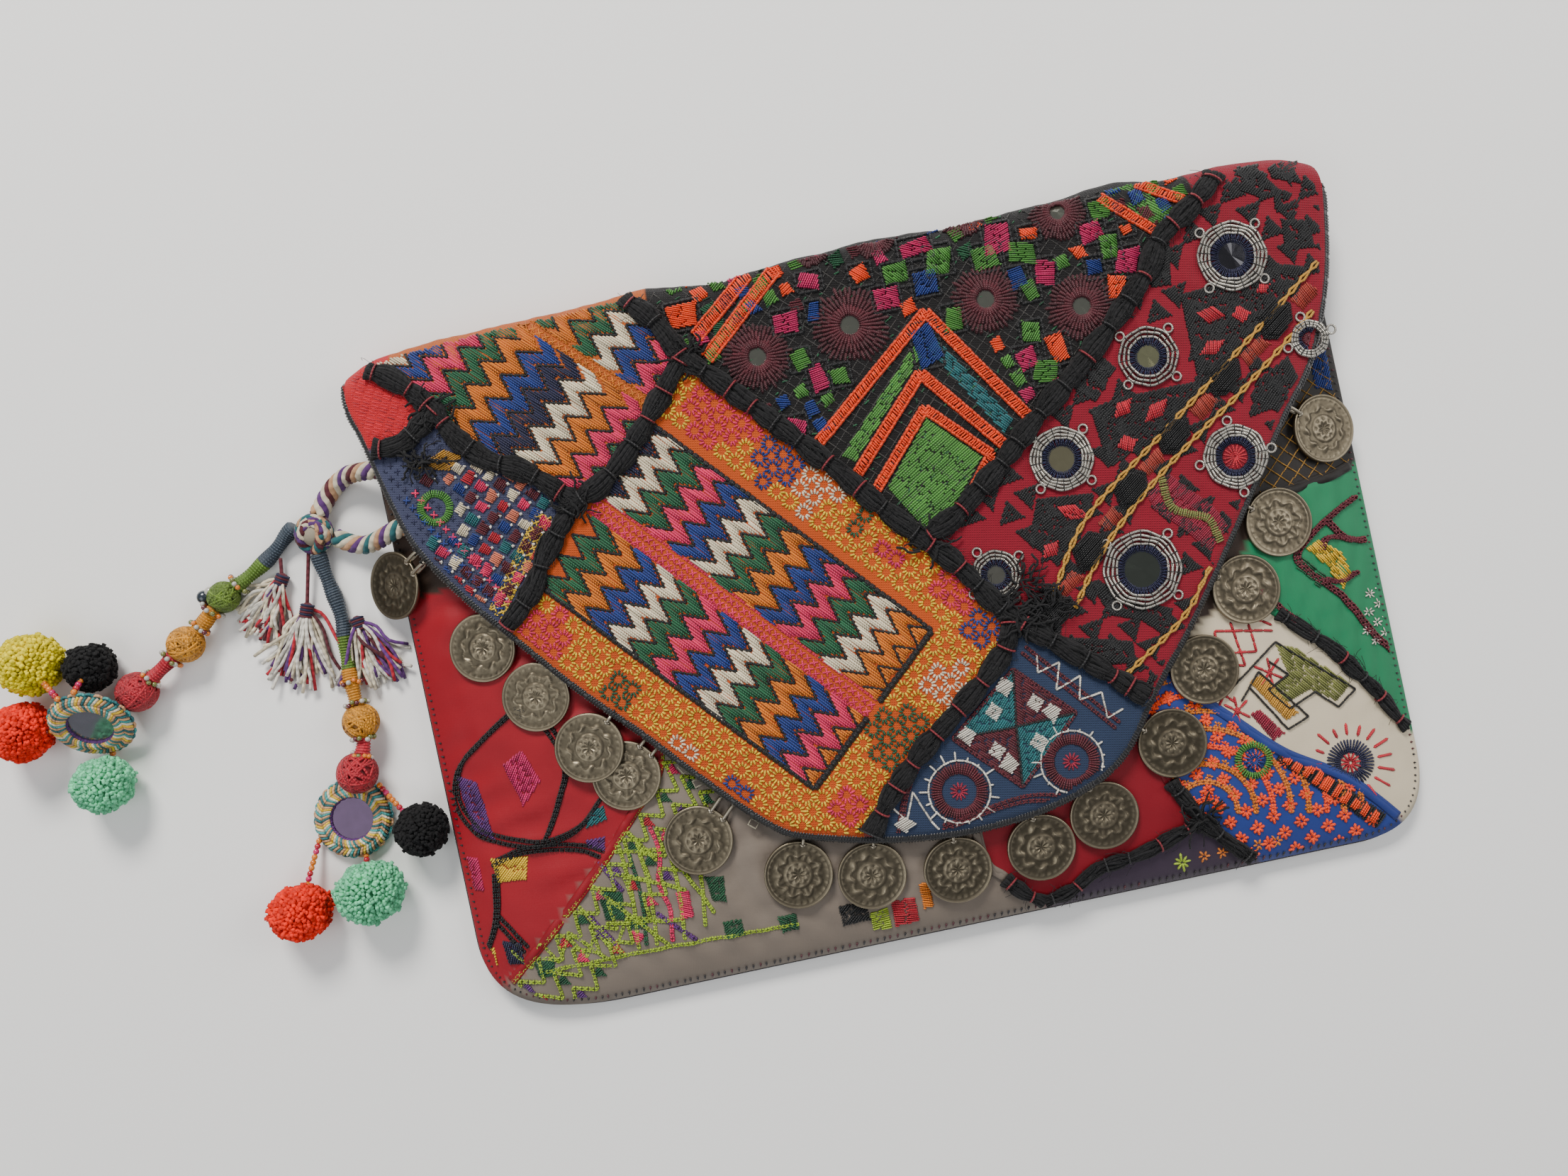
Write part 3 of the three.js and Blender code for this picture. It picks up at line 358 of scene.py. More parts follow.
def bead_shape(across, rings):
    """A round bead of radius 1, a little flattened at its ends."""
    if (across, rings) not in BEAD_SHAPES:
        bpy.ops.object.select_all(action="DESELECT")
        bpy.ops.mesh.primitive_uv_sphere_add(segments=across, ring_count=rings, radius=1)
        bpy.ops.object.mode_set(mode="EDIT")
        bpy.ops.mesh.select_all(action="SELECT")
        bpy.ops.transform.resize(value=(1, 1, .94))
        bpy.ops.object.mode_set(mode="OBJECT")
        BEAD_SHAPES[across, rings] = shape_of(bpy.context.object)
    return BEAD_SHAPES[across, rings]


class Heap:
    """Small shapes gathered into one mesh."""

    def __init__(self):
        self.verts, self.quads, self.tris, self.tints, self.lays, self.count = [], [], [], [], [], 0

    def put(self, verts, quads=(), tris=(), tint=(1, 1, 1), lay=None):
        n = len(verts)
        self.verts.append(np.asarray(verts, float))
        if len(quads):
            self.quads.append(np.asarray(quads) + self.count)
        if len(tris):
            self.tris.append(np.asarray(tris) + self.count)
        self.tints.append(np.broadcast_to(np.asarray(tint, float), (n, 3)))
        self.lays.append(np.zeros((n, 3)) if lay is None else lay)
        self.count += n

    def made(self, name, material, **options):
        faces = [np.concatenate(f) for f in (self.quads, self.tris) if f]
        return mesh(name, np.concatenate(self.verts), faces, material,
                    np.concatenate(self.tints), np.concatenate(self.lays), **options)

    def tube(self, line, radius, tint, sides=6, flat=1.0, closed=False, turn=0.0):
        """A round thread along a line, its ends capped; radius may change along it."""
        line = np.asarray(line, float)
        n = len(line)
        if closed:
            way = np.roll(line, -1, 0) - np.roll(line, 1, 0)
        else:
            way = np.gradient(line, axis=0)
        way /= np.linalg.norm(way, axis=1)[:, None] + 1e-9
        up = np.where(np.abs(way[:, 2:3]) > .9, [[1.0, 0, 0]], [[0, 0, 1.0]])
        side = np.cross(way, up)
        side /= np.linalg.norm(side, axis=1)[:, None] + 1e-9
        up = np.cross(side, way)
        radius = np.broadcast_to(radius, (n,))[:, None, None]
        angle = 2 * np.pi * np.arange(sides) / sides + turn
        ring = side[:, None] * np.cos(angle)[None, :, None] + up[:, None] * np.sin(angle)[None,
                                                                                          :, None] * flat
        verts = (line[:, None] + radius * ring).reshape(-1, 3)
        rows = np.arange(n if closed else n - 1)
        a = rows[:, None] * sides + np.arange(sides)[None]
        b = rows[:, None] * sides + (np.arange(sides)[None] + 1) % sides
        c, d = (b + sides) % (n * sides), (a + sides) % (n * sides)
        quads = np.stack([a, d, c, b], -1).reshape(-1, 4)
        along = np.concatenate([[0], np.cumsum(np.linalg.norm(np.diff(line, axis=0), axis=1))])
        lay = np.zeros((n, sides, 3))
        lay[..., 0] = along[:, None]
        lay[..., 1] = np.arange(sides)[None] / sides
        lay[..., 2] = rng.random()
        tris = []
        if not closed:
            verts = np.vstack([verts, line[0], line[-1]])
            lay = np.vstack([lay.reshape(-1, 3), [0, 0, 0], [along[-1], 0, 0]])
            k = np.arange(sides)
            last = (n - 1) * sides
            tris = np.vstack([np.stack([np.full(sides, n * sides), k, (k + 1) % sides], -1),
                              np.stack([np.full(sides, n * sides + 1), last + (k + 1) % sides, last + k],
                                       -1)])
        tints = np.asarray(tint, float)
        if tints.ndim == 2:
            tints = np.repeat(tints, sides, 0)
            if not closed:
                tints = np.vstack([tints, tints[0], tints[-1]])
        self.put(verts, quads, tris, tints, lay.reshape(-1, 3))

    def ball(self, centre, radius, tint, across=8, rings=5):
        """A small bead."""
        verts, quads, tris = bead_shape(across, rings)
        self.put(verts * radius + centre, quads, tris, tint)


class Stitches:
    """Straight stitches on a surface, each a thin arched thread."""

    FANS = np.array([[0, 2, 1], [0, 3, 2], [0, 1, 3], [7, 4, 5], [7, 5, 6], [7, 6, 4]])
    SIDES = np.array([[1, 2, 5, 4], [2, 3, 6, 5], [3, 1, 4, 6]])

    def __init__(self, over, plane, base):
        self.over, self.plane, self.base = over, plane, base
        self.rows = []
        self.rooms = []
        self.level = lambda x, y: 0

    def add(self, a, b, width, rise, colour, wander=.12, shade=.14, lift=0.0, plan=False):
        """Stitches from a to b; colour is one for all or a row for each."""
        a, b = np.atleast_2d(a).astype(float), np.atleast_2d(b).astype(float)
        if not len(a):
            return
        a = a + rng.normal(0, wander, a.shape)
        b = b + rng.normal(0, wander, b.shape)
        if not plan:
            a = seen(a, self.plane, self.over, self.base)
            b = seen(b, self.plane, self.over, self.base)
        if self.rooms:
            t = np.linspace(0, 1, 7)
            places = a[:, None] + (b - a)[:, None] * t[None, :, None]
            held = np.ones(places.shape[:2], bool)
            for room in self.rooms:
                held &= inside(places, room)
            keep = held.sum(1) > 1
            first = t[held.argmax(1)]
            last = t[len(t) - 1 - held[:, ::-1].argmax(1)]
            a, b = (a + (b - a) * first[:, None])[keep], (a + (b - a) * last[:, None])[keep]
            if not len(a):
                return
            if np.ndim(colour) == 2:
                colour = colour[keep]
        tint = np.broadcast_to(colour, (len(a), 3)) * (1 + rng.normal(0, shade, (len(a), 1)))
        size = np.broadcast_to(width, (len(a),))
        self.rows.append((a, b, size, np.full(len(a), rise), np.clip(tint, 0, 1), np.full(len(a), lift)))

    def made(self, name, material):
        a, b, width, rise, tint, lift = (np.concatenate(x) for x in zip(*self.rows))
        way = b - a
        length = np.linalg.norm(way, axis=1)
        keep = length > .3
        a, b, width, rise, tint, lift, way, length = (x[keep] for x in (a, b, width, rise, tint, lift, way,
                                                                        length))
        way = way / length[:, None]
        side = np.stack([-way[:, 1], way[:, 0]], 1) * width[:, None] / 2
        near = np.minimum(.22 * length, .7 * width)[:, None]
        lift = lift + rng.uniform(-.05, .05, len(a))
        plans, heights = [a], [lift - .12]
        for end, sign in ((a, 1), (b, -1)):
            middle = end + sign * way * near
            plans += [middle - side, middle, middle + side]
            heights += [lift - .1, lift + rise, lift - .1]
        plans.append(b)
        heights.append(lift - .12)
        xy = np.stack(plans, 1)
        h = self.base + np.stack(heights, 1) + self.level(xy[..., 0], xy[..., 1])
        verts = self.over(xy[..., 0], xy[..., 1], h).reshape(-1, 3)
        start = (np.arange(len(a)) * 8)[:, None, None]
        lay = np.zeros((len(a), 8, 3))
        lay[:, 4:, 0] = length[:, None]
        lay[:, [1, 4], 1] = -1
        lay[:, [3, 6], 1] = 1
        lay[..., 2] = rng.random(len(a))[:, None]
        return mesh(name, verts, [(self.SIDES + start).reshape(-1, 4), (self.FANS + start).reshape(-1, 3)],
                    material, np.repeat(tint, 8, 0), lay.reshape(-1, 3))

    # Kinds of work
    def line(self, points, width, colour, step=2.4, rise=.35, chain=False, curve=True, lift=.05):
        p = spaced(points, step) if curve else np.asarray(points, float)
        if not curve:
            p = np.vstack([spaced(p[i:i + 2], step)[:-1] for i in range(len(p) - 1)] + [p[-1:]])
        a, b = p[:-1], p[1:]
        way = (b - a) / (np.linalg.norm(b - a, axis=1)[:, None] + 1e-9)
        side = np.stack([-way[:, 1], way[:, 0]], 1)
        if chain:
            for s in (-1, 1):
                self.add(a - way * .2, (a + b) / 2 + side * s * width * .42, width * .6, rise, colour, .04,
                         lift=lift)
                self.add((a + b) / 2 + side * s * width * .42, b + way * .3, width * .6, rise, colour, .04,
                         lift=lift)
        else:
            self.add(a - way * .3, b + way * .3, width, rise, colour, .06, lift=lift)

    def satin(self, polygon, angle, width, colour, longest=7.0, rise=.42, lift=.05, shade=.12, pack=.8):
        """Fill an outline with rows of stitches at an angle in degrees."""
        polygon = np.asarray(polygon, float)
        turn = turning(math.radians(angle))
        local = polygon @ turn.T
        a, b = [], []
        for v in np.arange(local[:, 1].min() + width * .3, local[:, 1].max(), width * pack):
            cross = []
            for (x0, y0), (x1, y1) in zip(local, np.roll(local, -1, 0)):
                if (y0 > v) != (y1 > v):
                    cross.append(x0 + (v - y0) / (y1 - y0) * (x1 - x0))
            cross.sort()
            for x0, x1 in zip(cross[::2], cross[1::2]):
                parts = max(1, math.ceil((x1 - x0) / longest))
                cuts = np.linspace(x0, x1, parts + 1)
                cuts[1:-1] += rng.uniform(-.25, .25, parts - 1) * longest
                for m, n in zip(cuts, cuts[1:]):
                    if n - m > .4:
                        a.append((m - .1, v))
                        b.append((n + .1, v))
        if a:
            self.add(np.array(a) @ turn, np.array(b) @ turn, width, rise, colour, .07, shade, lift)

    def box(self, x0, x1, y0, y1, angle, width, colour, rise=.55, slant=0.0, **more):
        """A padded block of satin stitches, with uneven corners."""
        p = np.array([[x0, y0], [x1, y0], [x1, y1], [x0, y1]], float)
        p += rng.uniform(-.12, .12, p.shape) * [[x1 - x0, y1 - y0]]
        middle = p.mean(0)
        p = (p - middle) @ turning(slant) + middle
        self.satin(p, angle, width, colour, rise=rise, **more)

    def rays(self, centre, r0, r1, count, width, colour, rise=.4, start=0.0, stop=2 * math.pi, ragged=0.0,
             lift=.05):
        angle = np.linspace(start, stop, count, endpoint=False)
        way = round_places(angle)
        outer = r1 * (1 + rng.uniform(-ragged, ragged, count))[:, None]
        self.add(np.asarray(centre) + way * r0, np.asarray(centre) + way * outer, width, rise, colour, .05,
                 lift=lift)

    def stars(self, centres, reach, width, colour, arms=8, turn=0.0, lift=.1):
        for k in range(arms):
            angle = turn + 2 * math.pi * k / arms
            way = np.array([math.cos(angle), math.sin(angle)])
            far = reach * (1.0 if k % 2 == 0 else .82)
            self.add(centres + way * .25, centres + way * far, width, .35, colour, .12, lift=lift)

    def crosses(self, centres, size, width, colour, turn=0.0, lift=.05):
        for k in range(2):
            angle = turn + math.pi / 4 + k * math.pi / 2
            way = np.array([math.cos(angle), math.sin(angle)]) * size / 2
            self.add(centres - way, centres + way, width, .35, colour, .1, lift=lift + .15 * k)


def grid(low_x, high_x, low_y, high_y, pitch, turn=0.0):
    """Plan places of a square grid, turned about the middle of its area."""
    far = math.hypot(high_x - low_x, high_y - low_y) / 2 + pitch
    k = np.arange(-far, far, pitch)
    u, v = np.meshgrid(k, k)
    c, s = math.cos(turn), math.sin(turn)
    x = (low_x + high_x) / 2 + u * c - v * s
    y = (low_y + high_y) / 2 + u * s + v * c
    p = np.stack([x.ravel(), y.ravel()], 1)
    keep = (p[:, 0] > low_x) & (p[:, 0] < high_x) & (p[:, 1] > low_y) & (p[:, 1] < high_y)
    return p[keep]


def material(name):
    m = bpy.data.materials.new(name)
    m.use_nodes = True
    tree = m.node_tree
    shader = tree.nodes["Principled BSDF"]
    return m, tree, shader


def node(tree, kind, **inputs):
    made = tree.nodes.new(kind)
    for key, value in inputs.items():
        if hasattr(made, key):
            setattr(made, key, value)
        else:
            made.inputs[key.replace("_", " ")].default_value = value
    return made


def maths(tree, operation, a, b=None):
    made = tree.nodes.new("ShaderNodeMath")
    made.operation = operation
    for i, value in enumerate((a, b)):
        if value is None:
            continue
        if isinstance(value, (int, float)):
            made.inputs[i].default_value = value
        else:
            tree.links.new(value, made.inputs[i])
    return made.outputs[0]


def mixed(tree, factor, a, b, blend="MIX"):
    made = tree.nodes.new("ShaderNodeMix")
    made.data_type = "RGBA"
    made.blend_type = blend
    for i, value in ((0, factor), (6, a), (7, b)):
        if isinstance(value, (int, float, tuple)):
            made.inputs[i].default_value = value
        else:
            tree.links.new(value, made.inputs[i])
    return made.outputs[2]


def noise(tree, place, scale, detail=3.0):
    made = node(tree, "ShaderNodeTexNoise", Scale=scale, Detail=detail)
    tree.links.new(place, made.inputs["Vector"])
    return made.outputs["Fac"]


def bump(tree, shader, height, strength, distance):
    made = node(tree, "ShaderNodeBump", Strength=strength, Distance=distance)
    tree.links.new(height, made.inputs["Height"])
    tree.links.new(made.outputs["Normal"], shader.inputs["Normal"])


def tinted(tree, shader, amount, scale, place, dark=(.25, .22, .2, 1)):
    """The mesh's own colour, worn and soiled in patches."""
    own = tree.nodes.new("ShaderNodeAttribute")
    own.attribute_name = "tint"
    soil = maths(tree, "MULTIPLY", noise(tree, place, scale, 5.0), amount)
    worn = mixed(tree, soil, own.outputs["Color"], dark, "MULTIPLY")
    tree.links.new(worn, shader.inputs["Base Color"])
    return own


def object_place(tree):
    return tree.nodes.new("ShaderNodeTexCoord").outputs["Object"]


def thread_material(name, rough=.62, sheen=.35, twist=1.1, strength=.5, metal=0.0, amount=.35):
    """Thread: its twist shows as slanted strands across it."""
    m, tree, shader = material(name)
    place = object_place(tree)
    tinted(tree, shader, amount, 900, place)
    lay = tree.nodes.new("ShaderNodeAttribute")
    lay.attribute_name = "lay"
    split = tree.nodes.new("ShaderNodeSeparateXYZ")
    tree.links.new(lay.outputs["Vector"], split.inputs[0])
    phase = maths(tree, "ADD", maths(tree, "MULTIPLY", split.outputs[0], 2 * math.pi / twist),
                  maths(tree, "MULTIPLY", split.outputs[1], 2.2))
    strand = maths(tree, "ADD", maths(tree, "SINE", phase),
                   maths(tree, "MULTIPLY", noise(tree, place, 4000), 1.2))
    bump(tree, shader, strand, strength, .00022)
    shader.inputs["Roughness"].default_value = rough
    shader.inputs["Metallic"].default_value = metal
    shader.inputs["Sheen Weight"].default_value = sheen
    shader.inputs["Sheen Roughness"].default_value = .5
    return m


def cloth_material(name, pitch, rough, sheen, strength, soil=.5, turn=.2):
    """Woven cloth: threads both ways, with slubs and soiling."""
    m, tree, shader = material(name)
    place = object_place(tree)
    tinted(tree, shader, soil, 60, place, (.45, .4, .36, 1))
    turned = node(tree, "ShaderNodeMapping")
    turned.inputs["Rotation"].default_value = (0, 0, turn)
    tree.links.new(place, turned.inputs["Vector"])
    split = tree.nodes.new("ShaderNodeSeparateXYZ")
    tree.links.new(turned.outputs[0], split.inputs[0])
    warp = maths(tree, "SINE", maths(tree, "MULTIPLY", split.outputs[0], 2 * math.pi / (pitch * MM)))
    weft = maths(tree, "SINE", maths(tree, "MULTIPLY", split.outputs[1], 2 * math.pi / (pitch * MM)))
    weave = maths(tree, "MAXIMUM", warp, weft)
    both = maths(tree, "ADD", weave, maths(tree, "MULTIPLY", noise(tree, place, 700, 4.0), 2.0))
    bump(tree, shader, both, strength, .0003)
    shader.inputs["Roughness"].default_value = rough
    shader.inputs["Sheen Weight"].default_value = sheen
    shader.inputs["Specular IOR Level"].default_value = .3
    return m


def plain_material(name, rough, metal=0.0, grain=300.0, strength=.2, distance=.0002, sheen=0.0, coat=0.0):
    m, tree, shader = material(name)
    place = object_place(tree)
    tinted(tree, shader, .4, grain, place)
    level = noise(tree, place, grain, 6.0)
    bump(tree, shader, level, strength, distance)
    tree.links.new(maths(tree, "ADD", maths(tree, "MULTIPLY", level, .25), rough - .12),
                   shader.inputs["Roughness"])
    shader.inputs["Metallic"].default_value = metal
    shader.inputs["Sheen Weight"].default_value = sheen
    shader.inputs["Coat Weight"].default_value = coat
    return m


CLOTHS = [cloth_material("cloth", .8, .85, .1, .5), cloth_material("silk", .35, .55, .05, .12, .35, .2)]
THREAD = thread_material("thread", .55, .06)
WOOL = thread_material("wool", .95, .02, 2.0, .5)
SILVER = thread_material("purl", .38, 0, .5, .5, .9, .2)
CORDED = thread_material("cord_yarn", .85, .12, 2.4, .6)
FLUFF = thread_material("pompom_yarn", .95, 0, 2.4, .6, 0, .25)
COIN = plain_material("coin_nickel", .4, 1.0, 900, .3, .0001)
GLASS = plain_material("mirror_glass", .14, .85, 400, .05, .0002, 0, .5)
PIPING = plain_material("piping_cord", .36, 0, 700, .3, .0002, .1, .25)
BEAD = plain_material("seed_bead", .2, 0, 500, .05, .0001, 0, .6)

BLACK, TIE = rgb("111011"), rgb("7c1822")


# The cloth bases
FLAP_TRIM = np.vstack([aside(EDGE, 3.6), [(170, 119), (120, 121.6), (60, 121), (0, 120.3), (-60, 119.6),
                                          (-120, 118.6), (-166, 116), (-170.5, 112)]])
FRONT_TRIM = np.array([[-168, -88], [-164, -104], [-150, -116], [-126, -118.5], [146, -118.5], [160, -114],
                       [167.5, -90], [168, 90], [-168, 90]])


def front_level(x, y):
    """How far the loose front cloth stands off its even shape."""
    points = np.stack([x, y], -1)
    names = np.full(x.shape, "", dtype="U6")
    for name, border in FRONT_OUTLINES.items():
        names[inside(points, border)] = name
    rim = np.minimum(y - BOTTOM_Y, HALF_POUCH - np.abs(x))
    return (folds_of(x, y, names) + .15 * wave_noise(x, y, 9, 8)) * np.clip(rim / 14, 0, 1)


def grid_mesh(name, top, under, material, tint, rows, columns):
    """A closed slab from two like grids of places, one over the other."""
    n = rows * columns
    i, j = np.meshgrid(np.arange(rows - 1), np.arange(columns - 1), indexing="ij")
    a = (i * columns + j).ravel()
    upper = np.stack([a, a + columns, a + columns + 1, a + 1], -1)
    ring = np.concatenate([np.arange(columns - 1), columns * np.arange(1, rows) - 1,
                           n - 1 - np.arange(columns - 1), columns * np.arange(rows - 1, 0, -1)])
    after = np.roll(ring, -1)
    wall = np.stack([ring, after, after + n, ring + n], -1)
    faces = np.vstack([upper, upper[:, ::-1] + n, wall])
    verts = np.vstack([top.reshape(-1, 3), under.reshape(-1, 3)])
    tints = np.vstack([tint.reshape(-1, 3), np.broadcast_to(rgb(CLOTH["lining"]), (n, 3))])
    return mesh(name, verts, [faces], material, tints)


def wave_noise(x, y, scale, seed):
    """Smooth uneven level from a few waves, between about -1 and 1."""
    r = np.random.default_rng(seed)
    total = np.zeros(np.broadcast(x, y).shape)
    for _ in range(7):
        angle, phase, size = r.uniform(0, 2 * math.pi), r.uniform(0, 6), r.uniform(.6, 1.7)
        along = x * math.cos(angle) + y * math.sin(angle)
        total = total + np.sin(along * 2 * math.pi / (scale * size) + phase)
    return total / 4


def flap_base():
    edge = aside(EDGE, 1.5)
    columns, flat, bend, leg = len(edge), 66, 12, 3
    rows = flat + bend + leg
    x = edge[:, 0]
    radius, cy, cz = fold(x)
    share = np.linspace(0, 1, flat)[:, None]
    y = edge[:, 1] + (cy - edge[:, 1]) * share
    xs = np.broadcast_to(x, y.shape)
    tint = np.broadcast_to(rgb("3a2a20"), (*y.shape, 3)).copy()
    for name, border in FLAP_OUTLINES.items():
        tint[inside(np.stack([xs, y], -1), border)] = rgb(CLOTH[name])
    lumps = .22 * wave_noise(xs, y, 14, 3) + .12 * wave_noise(xs, y, 5, 4)
    rim = np.clip(np.linspace(0, 1, flat)[:, None] * (cy - edge[:, 1]) / 3.5, 0, 1)
    thick = 2.9 + (FLAP_TOP - 2.9) * rim
    places = []
    for level in (thick + lumps * rim, np.zeros_like(thick)):
        main = np.stack([xs, y, FLAP_LOW + flap_lift(xs, y) + level], -1)
        top = level[-1]
        reach = radius - FLAP_THICK / 2 + top
        angle = np.linspace(0, math.pi, bend + 1)[1:, None]
        arc = np.stack([np.broadcast_to(x, (bend, columns)), cy + reach * np.sin(angle),
                        cz + reach * np.cos(angle)], -1)
        back = cy + (BACK_END_Y + 1 - cy) * np.linspace(0, 1, leg + 1)[1:, None]
        height = np.broadcast_to(np.maximum(FLAP_THICK - top, .02), back.shape)
        under = np.stack([np.broadcast_to(x, back.shape), back, height], -1)
        arc[..., 2] = np.maximum(arc[..., 2], .02)
        places.append(np.concatenate([main, arc, under]))
    tint = np.concatenate([tint, np.repeat(tint[-1:], bend + leg, 0)])
    base = grid_mesh("flap_base", places[0][:, ::-1], places[1][:, ::-1], CLOTHS[0], tint[:, ::-1], rows,
                     columns)
    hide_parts("flap", *[f"flap_patch_{name}" for name in FLAP_PATCHES])
    return base


def corner_columns(side):
    """Across and lowest places of the pouch's outline, from one side to the middle."""
    wide, high = (48, 30) if side < 0 else (26, 30)
    t = np.linspace(0, 1, 22)
    return side * (HALF_POUCH - wide * t ** 2), BOTTOM_Y + high * (1 - t) ** 2


def pouch_columns():
    left, left_low = corner_columns(-1)
    right, right_low = corner_columns(1)
    middle = np.linspace(left[-1], right[-1], 128)[1:-1]
    x = np.concatenate([left, middle, right[::-1]])
    return x, np.concatenate([left_low, np.full(len(middle), BOTTOM_Y), right_low[::-1]])


def folds_of(x, y, names):
    """Wrinkles, gathers and sags of the loose silks."""
    level = np.zeros(x.shape)
    way = (x * .72 + y * .69)
    gather = np.sin((x * .45 - y * .89) * .5 + 1.6 * np.sin(x * .07) + .8 * np.sin(way * .11))
    level[names == "satin"] = (.75 * gather * (.5 + .5 * np.sin(way * .13 + 1)) + .7 * np.sin(way * .1)
                               + .25 * wave_noise(x, y, 8, 6))[names == "satin"]
    level[names == "grey"] = (.45 * np.sin((x * .9 + y * .35) * .55 + np.sin(y * .12) * 1.8)
                              + .5 * wave_noise(x, y, 9, 9))[names == "grey"]
    ridges = .9 * np.abs(np.sin((x * .93 - y * .36) * .42 + .5 * np.sin(y * .1)))
    level[names == "green"] = ridges[names == "green"]
    level[names == "royal"] = (.25 * wave_noise(x, y, 13, 5))[names == "royal"]
    return level


def front_base():
    x, lowest = pouch_columns()
    columns, rows = len(x), 120
    share = np.linspace(0, 1, rows)[:, None] ** .85
    y = lowest + (MOUTH_Y - lowest) * share
    xs = np.broadcast_to(x, y.shape)
    names = np.full(y.shape, "", dtype="U6")
    tint = np.broadcast_to(rgb("3a2a20"), (*y.shape, 3)).copy()
    for name, border in FRONT_OUTLINES.items():
        held = inside(np.stack([xs, y], -1), border)
        names[held] = name
        tint[held] = rgb(CLOTH["front_net" if name == "net" else name])
    rim = np.minimum(y - lowest, HALF_POUCH - np.abs(xs))
    soft = np.clip(rim / 14, 0, 1)
    level = FRONT_TOP + (folds_of(xs, y, names) + .15 * wave_noise(xs, y, 9, 8)) * soft
    top = over_front(xs, y, level)
    under = over_front(xs, y, np.zeros(y.shape))
    base = grid_mesh("front_base", top[:, ::-1], under[:, ::-1], CLOTHS[1], tint[:, ::-1], rows, columns)
    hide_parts("front_panel", *[f"front_patch_{name}" for name in FRONT_PATCHES])
    return base


def side_seam():
    """Overcast black and maroon thread along the pouch's sewn sides and bottom."""
    x, lowest = pouch_columns()
    line = np.stack([x, lowest], 1)
    line = np.vstack([[-HALF_POUCH, MOUTH_Y - 2], line, [HALF_POUCH, MOUTH_Y - 2]])
    plan = np.vstack([spaced(line[:2], 1.5)[:-1], line[1:-1], spaced(line[-2:], 1.5)[1:]])
    cuts = np.concatenate([[0], np.cumsum(np.linalg.norm(np.diff(plan, axis=0), axis=1))])
    at = np.arange(0, cuts[-1], 1.25)
    plan = np.stack([np.interp(at, cuts, plan[:, i]) for i in range(2)], 1)
    heap = Heap()
    inner = aside(plan, -.4)
    heap.tube(np.c_[inner, np.full(len(inner), 2.7)], .9, rgb("241a1c"), 8)
    for i in range(1, len(plan) - 1, 2):
        way = plan[i + 1] - plan[i - 1]
        out = np.array([way[1], -way[0]]) / np.linalg.norm(way)
        spread = way * rng.uniform(.2, .5)
        path = np.array([[*(plan[i] + out * .1), .9], [*(plan[i] + out * .75 + spread * .3), 2.4],
                         [*(plan[i] - out * .3 + spread * .6), 3.8], [*(plan[i] - out * 2.2 + spread), 4.4]])
        at_z = front_z(path[3:, 0], path[3:, 1], FRONT_TOP + .3)
        path[3, 2] = at_z[0]
        path[2, 2] = (path[3, 2] + 2.8) / 2
        heap.tube(spaced(path, 1.7), .36, rgb("1a1517" if rng.random() < .7 else "4a1420"), 4)
    heap.made("side_seam", THREAD)


def turned_edges():
    """The folded edges of the front patches where no yarn covers them."""
    heap = Heap()
    for name, colour in (("lime", "satin"), ("dipTop", "grey"), ("blueTop", "red"), ("amber", "royal"),
                         ("rightTop", "green"), ("side", "front_net")):
        plan = spaced(seam(FRONT_SEAMS, name, front_xy), 1.2)
        plan = plan[inside(plan, FRONT_TRIM)]
        for off, level, thick in ((0, .1, 1.5), (1.1, .05, 1.1)):
            spot = aside(plan, off)
            place = over_front(spot[:, 0], spot[:, 1],
                               FRONT_TOP + level + front_level(spot[:, 0], spot[:, 1]))
            heap.tube(place, thick, rgb(CLOTH[colour]) * .85, 8, .42)
    heap.made("turned_edges", CLOTHS[1])


def back_base():
    x, lowest = pouch_columns()
    columns, rows = len(x), 50
    y = lowest + (BACK_END_Y - lowest) * np.linspace(0, 1, rows)[:, None]
    xs = np.broadcast_to(x, y.shape)
    quilt = .15 * (1 + wave_noise(xs, y, 16, 2))
    top = np.stack([xs, y, np.full(y.shape, 2.4)], -1)
    under = np.stack([xs, y, np.clip(quilt, 0, .8)], -1)
    tint = np.broadcast_to(rgb("2e2226"), (*y.shape, 3))
    base = grid_mesh("back_base", top[:, ::-1], under[:, ::-1], CLOTHS[0], tint[:, ::-1], rows, columns)
    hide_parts("back_panel")
    return base


flap_cloth = flap_base()
front_cloth = front_base()
back_base()
turned_edges()
side_seam()


# The yarn ropes and the piping
def through(names, table, xy):
    return np.vstack([seam(table, name, xy)[(0 if k == 0 else 1):] for k, name in enumerate(names)])


